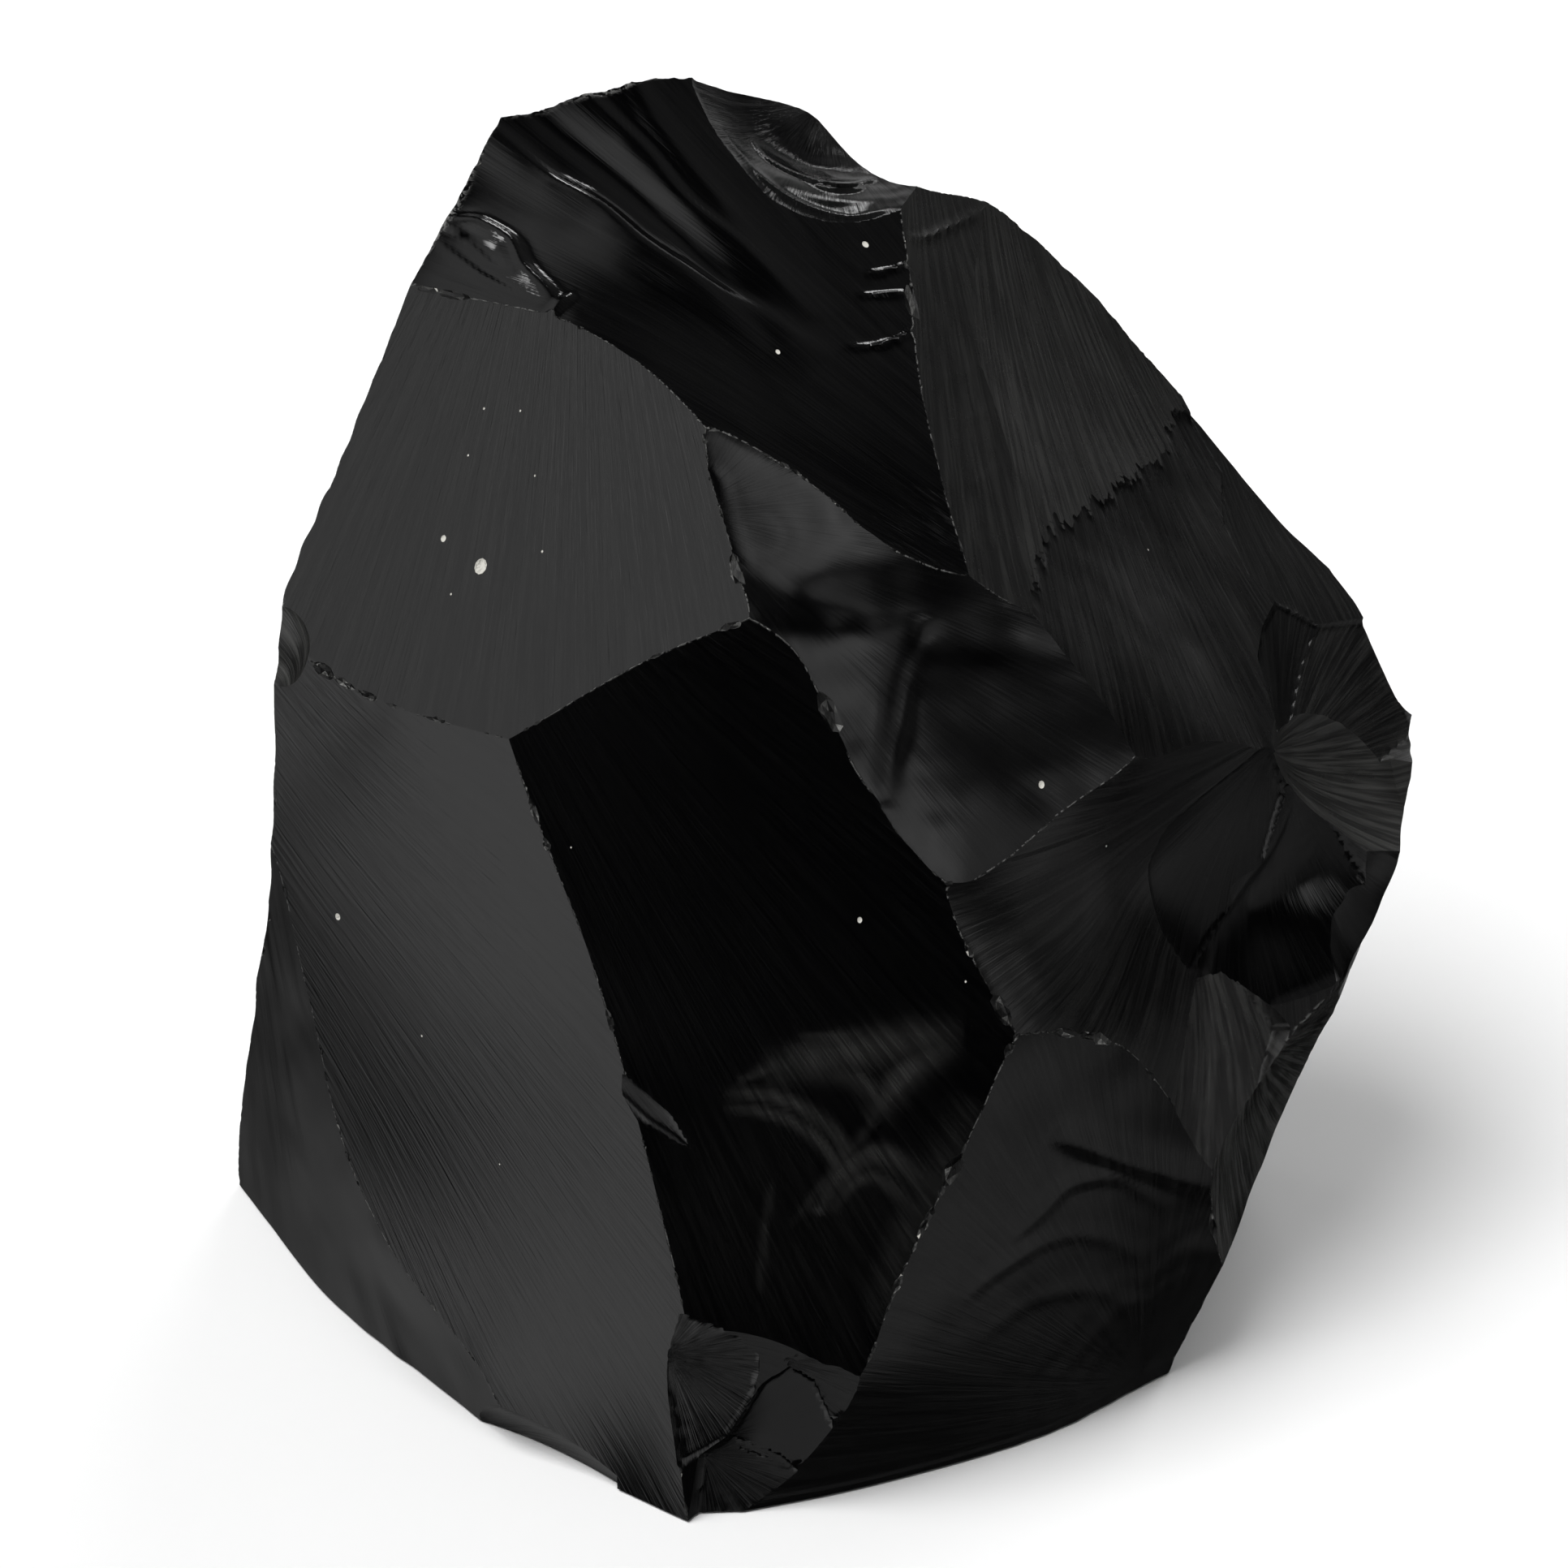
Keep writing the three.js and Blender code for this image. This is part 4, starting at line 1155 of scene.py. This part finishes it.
FLOOR_RADIUS = 3.0
FLOOR_DROP = 0.0002     # how far the floor lies under the stone, so that the two don't touch
FLOOR_RISES = ((0.12, 1.10), (0.30, 1.06), (0.55, 1.03), (2.5, 1.02))  # up into the wall, and out
FLOOR_TONES = ((0.80, 0.80, 0.80, 1), (0.84, 0.84, 0.84, 1))


def pale_floor():
    """A pale floor that curves up into a wall far away all round."""
    bm = bmesh.new()
    bmesh.ops.create_circle(bm, cap_ends=False, segments=96, radius=FLOOR_RADIUS)
    rim = bm.edges[:]
    middle = bmesh.ops.holes_fill(bm, edges=rim, sides=0)["faces"]
    for rise, widen in FLOOR_RISES:
        grown = bmesh.ops.extrude_edge_only(bm, edges=rim)["geom"]
        ring = [v for v in grown if isinstance(v, bmesh.types.BMVert)]
        rim = [e for e in grown if isinstance(e, bmesh.types.BMEdge)]
        bmesh.ops.scale(bm, verts=ring, vec=(widen, widen, 1))
        bmesh.ops.translate(bm, verts=ring, vec=(0, 0, rise))
    bmesh.ops.recalc_face_normals(bm, faces=bm.faces)
    if middle[0].normal.z < 0:
        bmesh.ops.reverse_faces(bm, faces=bm.faces)
    mesh = bpy.data.meshes.new("pale_floor")
    for face in bm.faces:
        face.smooth = True
    bm.to_mesh(mesh)
    bm.free()
    floor = link("pale_floor", mesh)
    mesh.transform(Matrix.Translation((0, 0, -FLOOR_DROP)))
    floor.visible_glossy = False
    material, t = new_material("pale studio floor")
    place = t.node("ShaderNodeTexCoord", out="Object")
    tone = t.mix(t.noise(place, 9.0, 3.0), *FLOOR_TONES)
    shader = t.node("ShaderNodeBsdfPrincipled", None, {"Base Color": tone, "Roughness": 0.9})
    t.node("ShaderNodeOutputMaterial", None, {0: shader})
    mesh.materials.append(material)


# Soft panels of light far away, as the glass mirrors them: the way to each one as an angle from the
# front towards the right and a height, how wide its even part and its whole fade are, and its level.
PANELS = [
    (-53, 54, 5, 36, 0.86),      # left, high: the upper front
    (-44, -20, 3, 28, 1.08),     # left, low: the lower front
    (-72, -12, 4, 15, 0.8),      # and its top
    (-130, -54, 6, 26, 0.20),    # back left, low: the left flank
    (-10, -30, 8, 22, 0.38),     # in front, from the ground: the toe
    (42, 22, 6, 18, 0.85),       # front right: the left half of the satin hollow
    (22, 28, 6, 20, 0.32),       # nearer the middle: its light bands
    (22, 20, 12, 34, 0.1),       # and round about
    (10, 66, 10, 20, 0.9),       # overhead: the top of the satin hollow
    (74, -14, 14, 34, 0.16),     # right: the bowl
    (44, -28, 4, 18, 0.25),      # right, low: the right foot
    (90, -45, 20, 50, 0.02),     # further round, low
    (133, 40, 14, 40, 0.09),     # back right: the strip and the slope
    (137, 66, 8, 30, 0.01),      # overhead, behind: the crown
    (-138, 58, 8, 24, 0.55),     # back left, high: the left sides of the crown's ribs
    (-106, 62, 2, 6, 7.0),       # small and bright, high on the left: glints
    (170, 40, 2, 5, 8.0),        # small and bright, behind: glints
    (180, 0, 14, 42, 0.6),       # behind, for the far side
    (110, -20, 12, 30, 0.04),    # right and behind, low
]


def studio_sky():
    """A dark sky with the panels in it."""
    world = bpy.data.worlds.new("studio")
    bpy.context.scene.world = world
    world.use_nodes = True
    t = Tree(world.node_tree)
    way = t.node("ShaderNodeTexCoord", out="Generated")
    level = None
    for turn, height, even, fade, strength in PANELS:
        a, e = math.radians(turn), math.radians(height)
        to = (math.sin(a) * math.cos(e), -math.cos(a) * math.cos(e), math.sin(e))
        near = t.node("ShaderNodeVectorMath", {"operation": "DOT_PRODUCT"}, {0: way, 1: to}, out="Value")
        panel = t.step(near, math.cos(math.radians(fade)), math.cos(math.radians(even))) * strength
        level = panel if level is None else level + panel
    sky = t.node("ShaderNodeBackground", None, {"Color": (1, 1, 1, 1), "Strength": level})
    t.node("ShaderNodeOutputWorld", None, {0: sky})


def softbox(name, place, size, power):
    """A large soft lamp for the floor and the stone's pale edges, which the glass doesn't mirror."""
    light = bpy.data.lights.new(name, "AREA")
    light.shape = "DISK"
    light.size = size
    light.energy = power
    lamp = bpy.data.objects.new(name, light)
    lamp.location = place
    lamp.rotation_euler = (-Vector(place)).to_track_quat("-Z", "Y").to_euler()
    lamp.visible_glossy = False
    lamp.visible_camera = False
    bpy.context.scene.collection.objects.link(lamp)


SIGHT = 20                         # metres that the camera sees
CAMERA_HEIGHT = math.radians(30)   # how steeply it looks down
CAMERA_AIM = (0, 0, 0.044)
CAMERA_GAP = 0.44275               # metres from what it aims at
LENS = 150


def camera():
    """Looks down at the stone's front with a long lens."""
    lens = bpy.data.cameras.new("camera")
    lens.lens = LENS
    lens.clip_end = SIGHT
    eye = bpy.data.objects.new("camera", lens)
    eye.location = Vector(CAMERA_AIM) + CAMERA_GAP * Vector((0, -math.cos(CAMERA_HEIGHT),
                                                             math.sin(CAMERA_HEIGHT)))
    eye.rotation_euler = (math.radians(90) - CAMERA_HEIGHT, 0, 0)
    bpy.context.scene.collection.objects.link(eye)
    bpy.context.scene.camera = eye


# ---------------------------------------------------------------- the scene

stone = make_stone()
stone.data.materials.clear()
stone.data.materials.append(black_glass())
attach(stone, "root")
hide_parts("obsidian_chunk")

pale_floor()
studio_sky()
softbox("softbox", (-0.5, -0.4, 1.3), 1.1, 22)
softbox("back softbox", (0.6, 0.9, 0.9), 1.0, 9)
camera()
bpy.context.scene.view_settings.view_transform = "Standard"
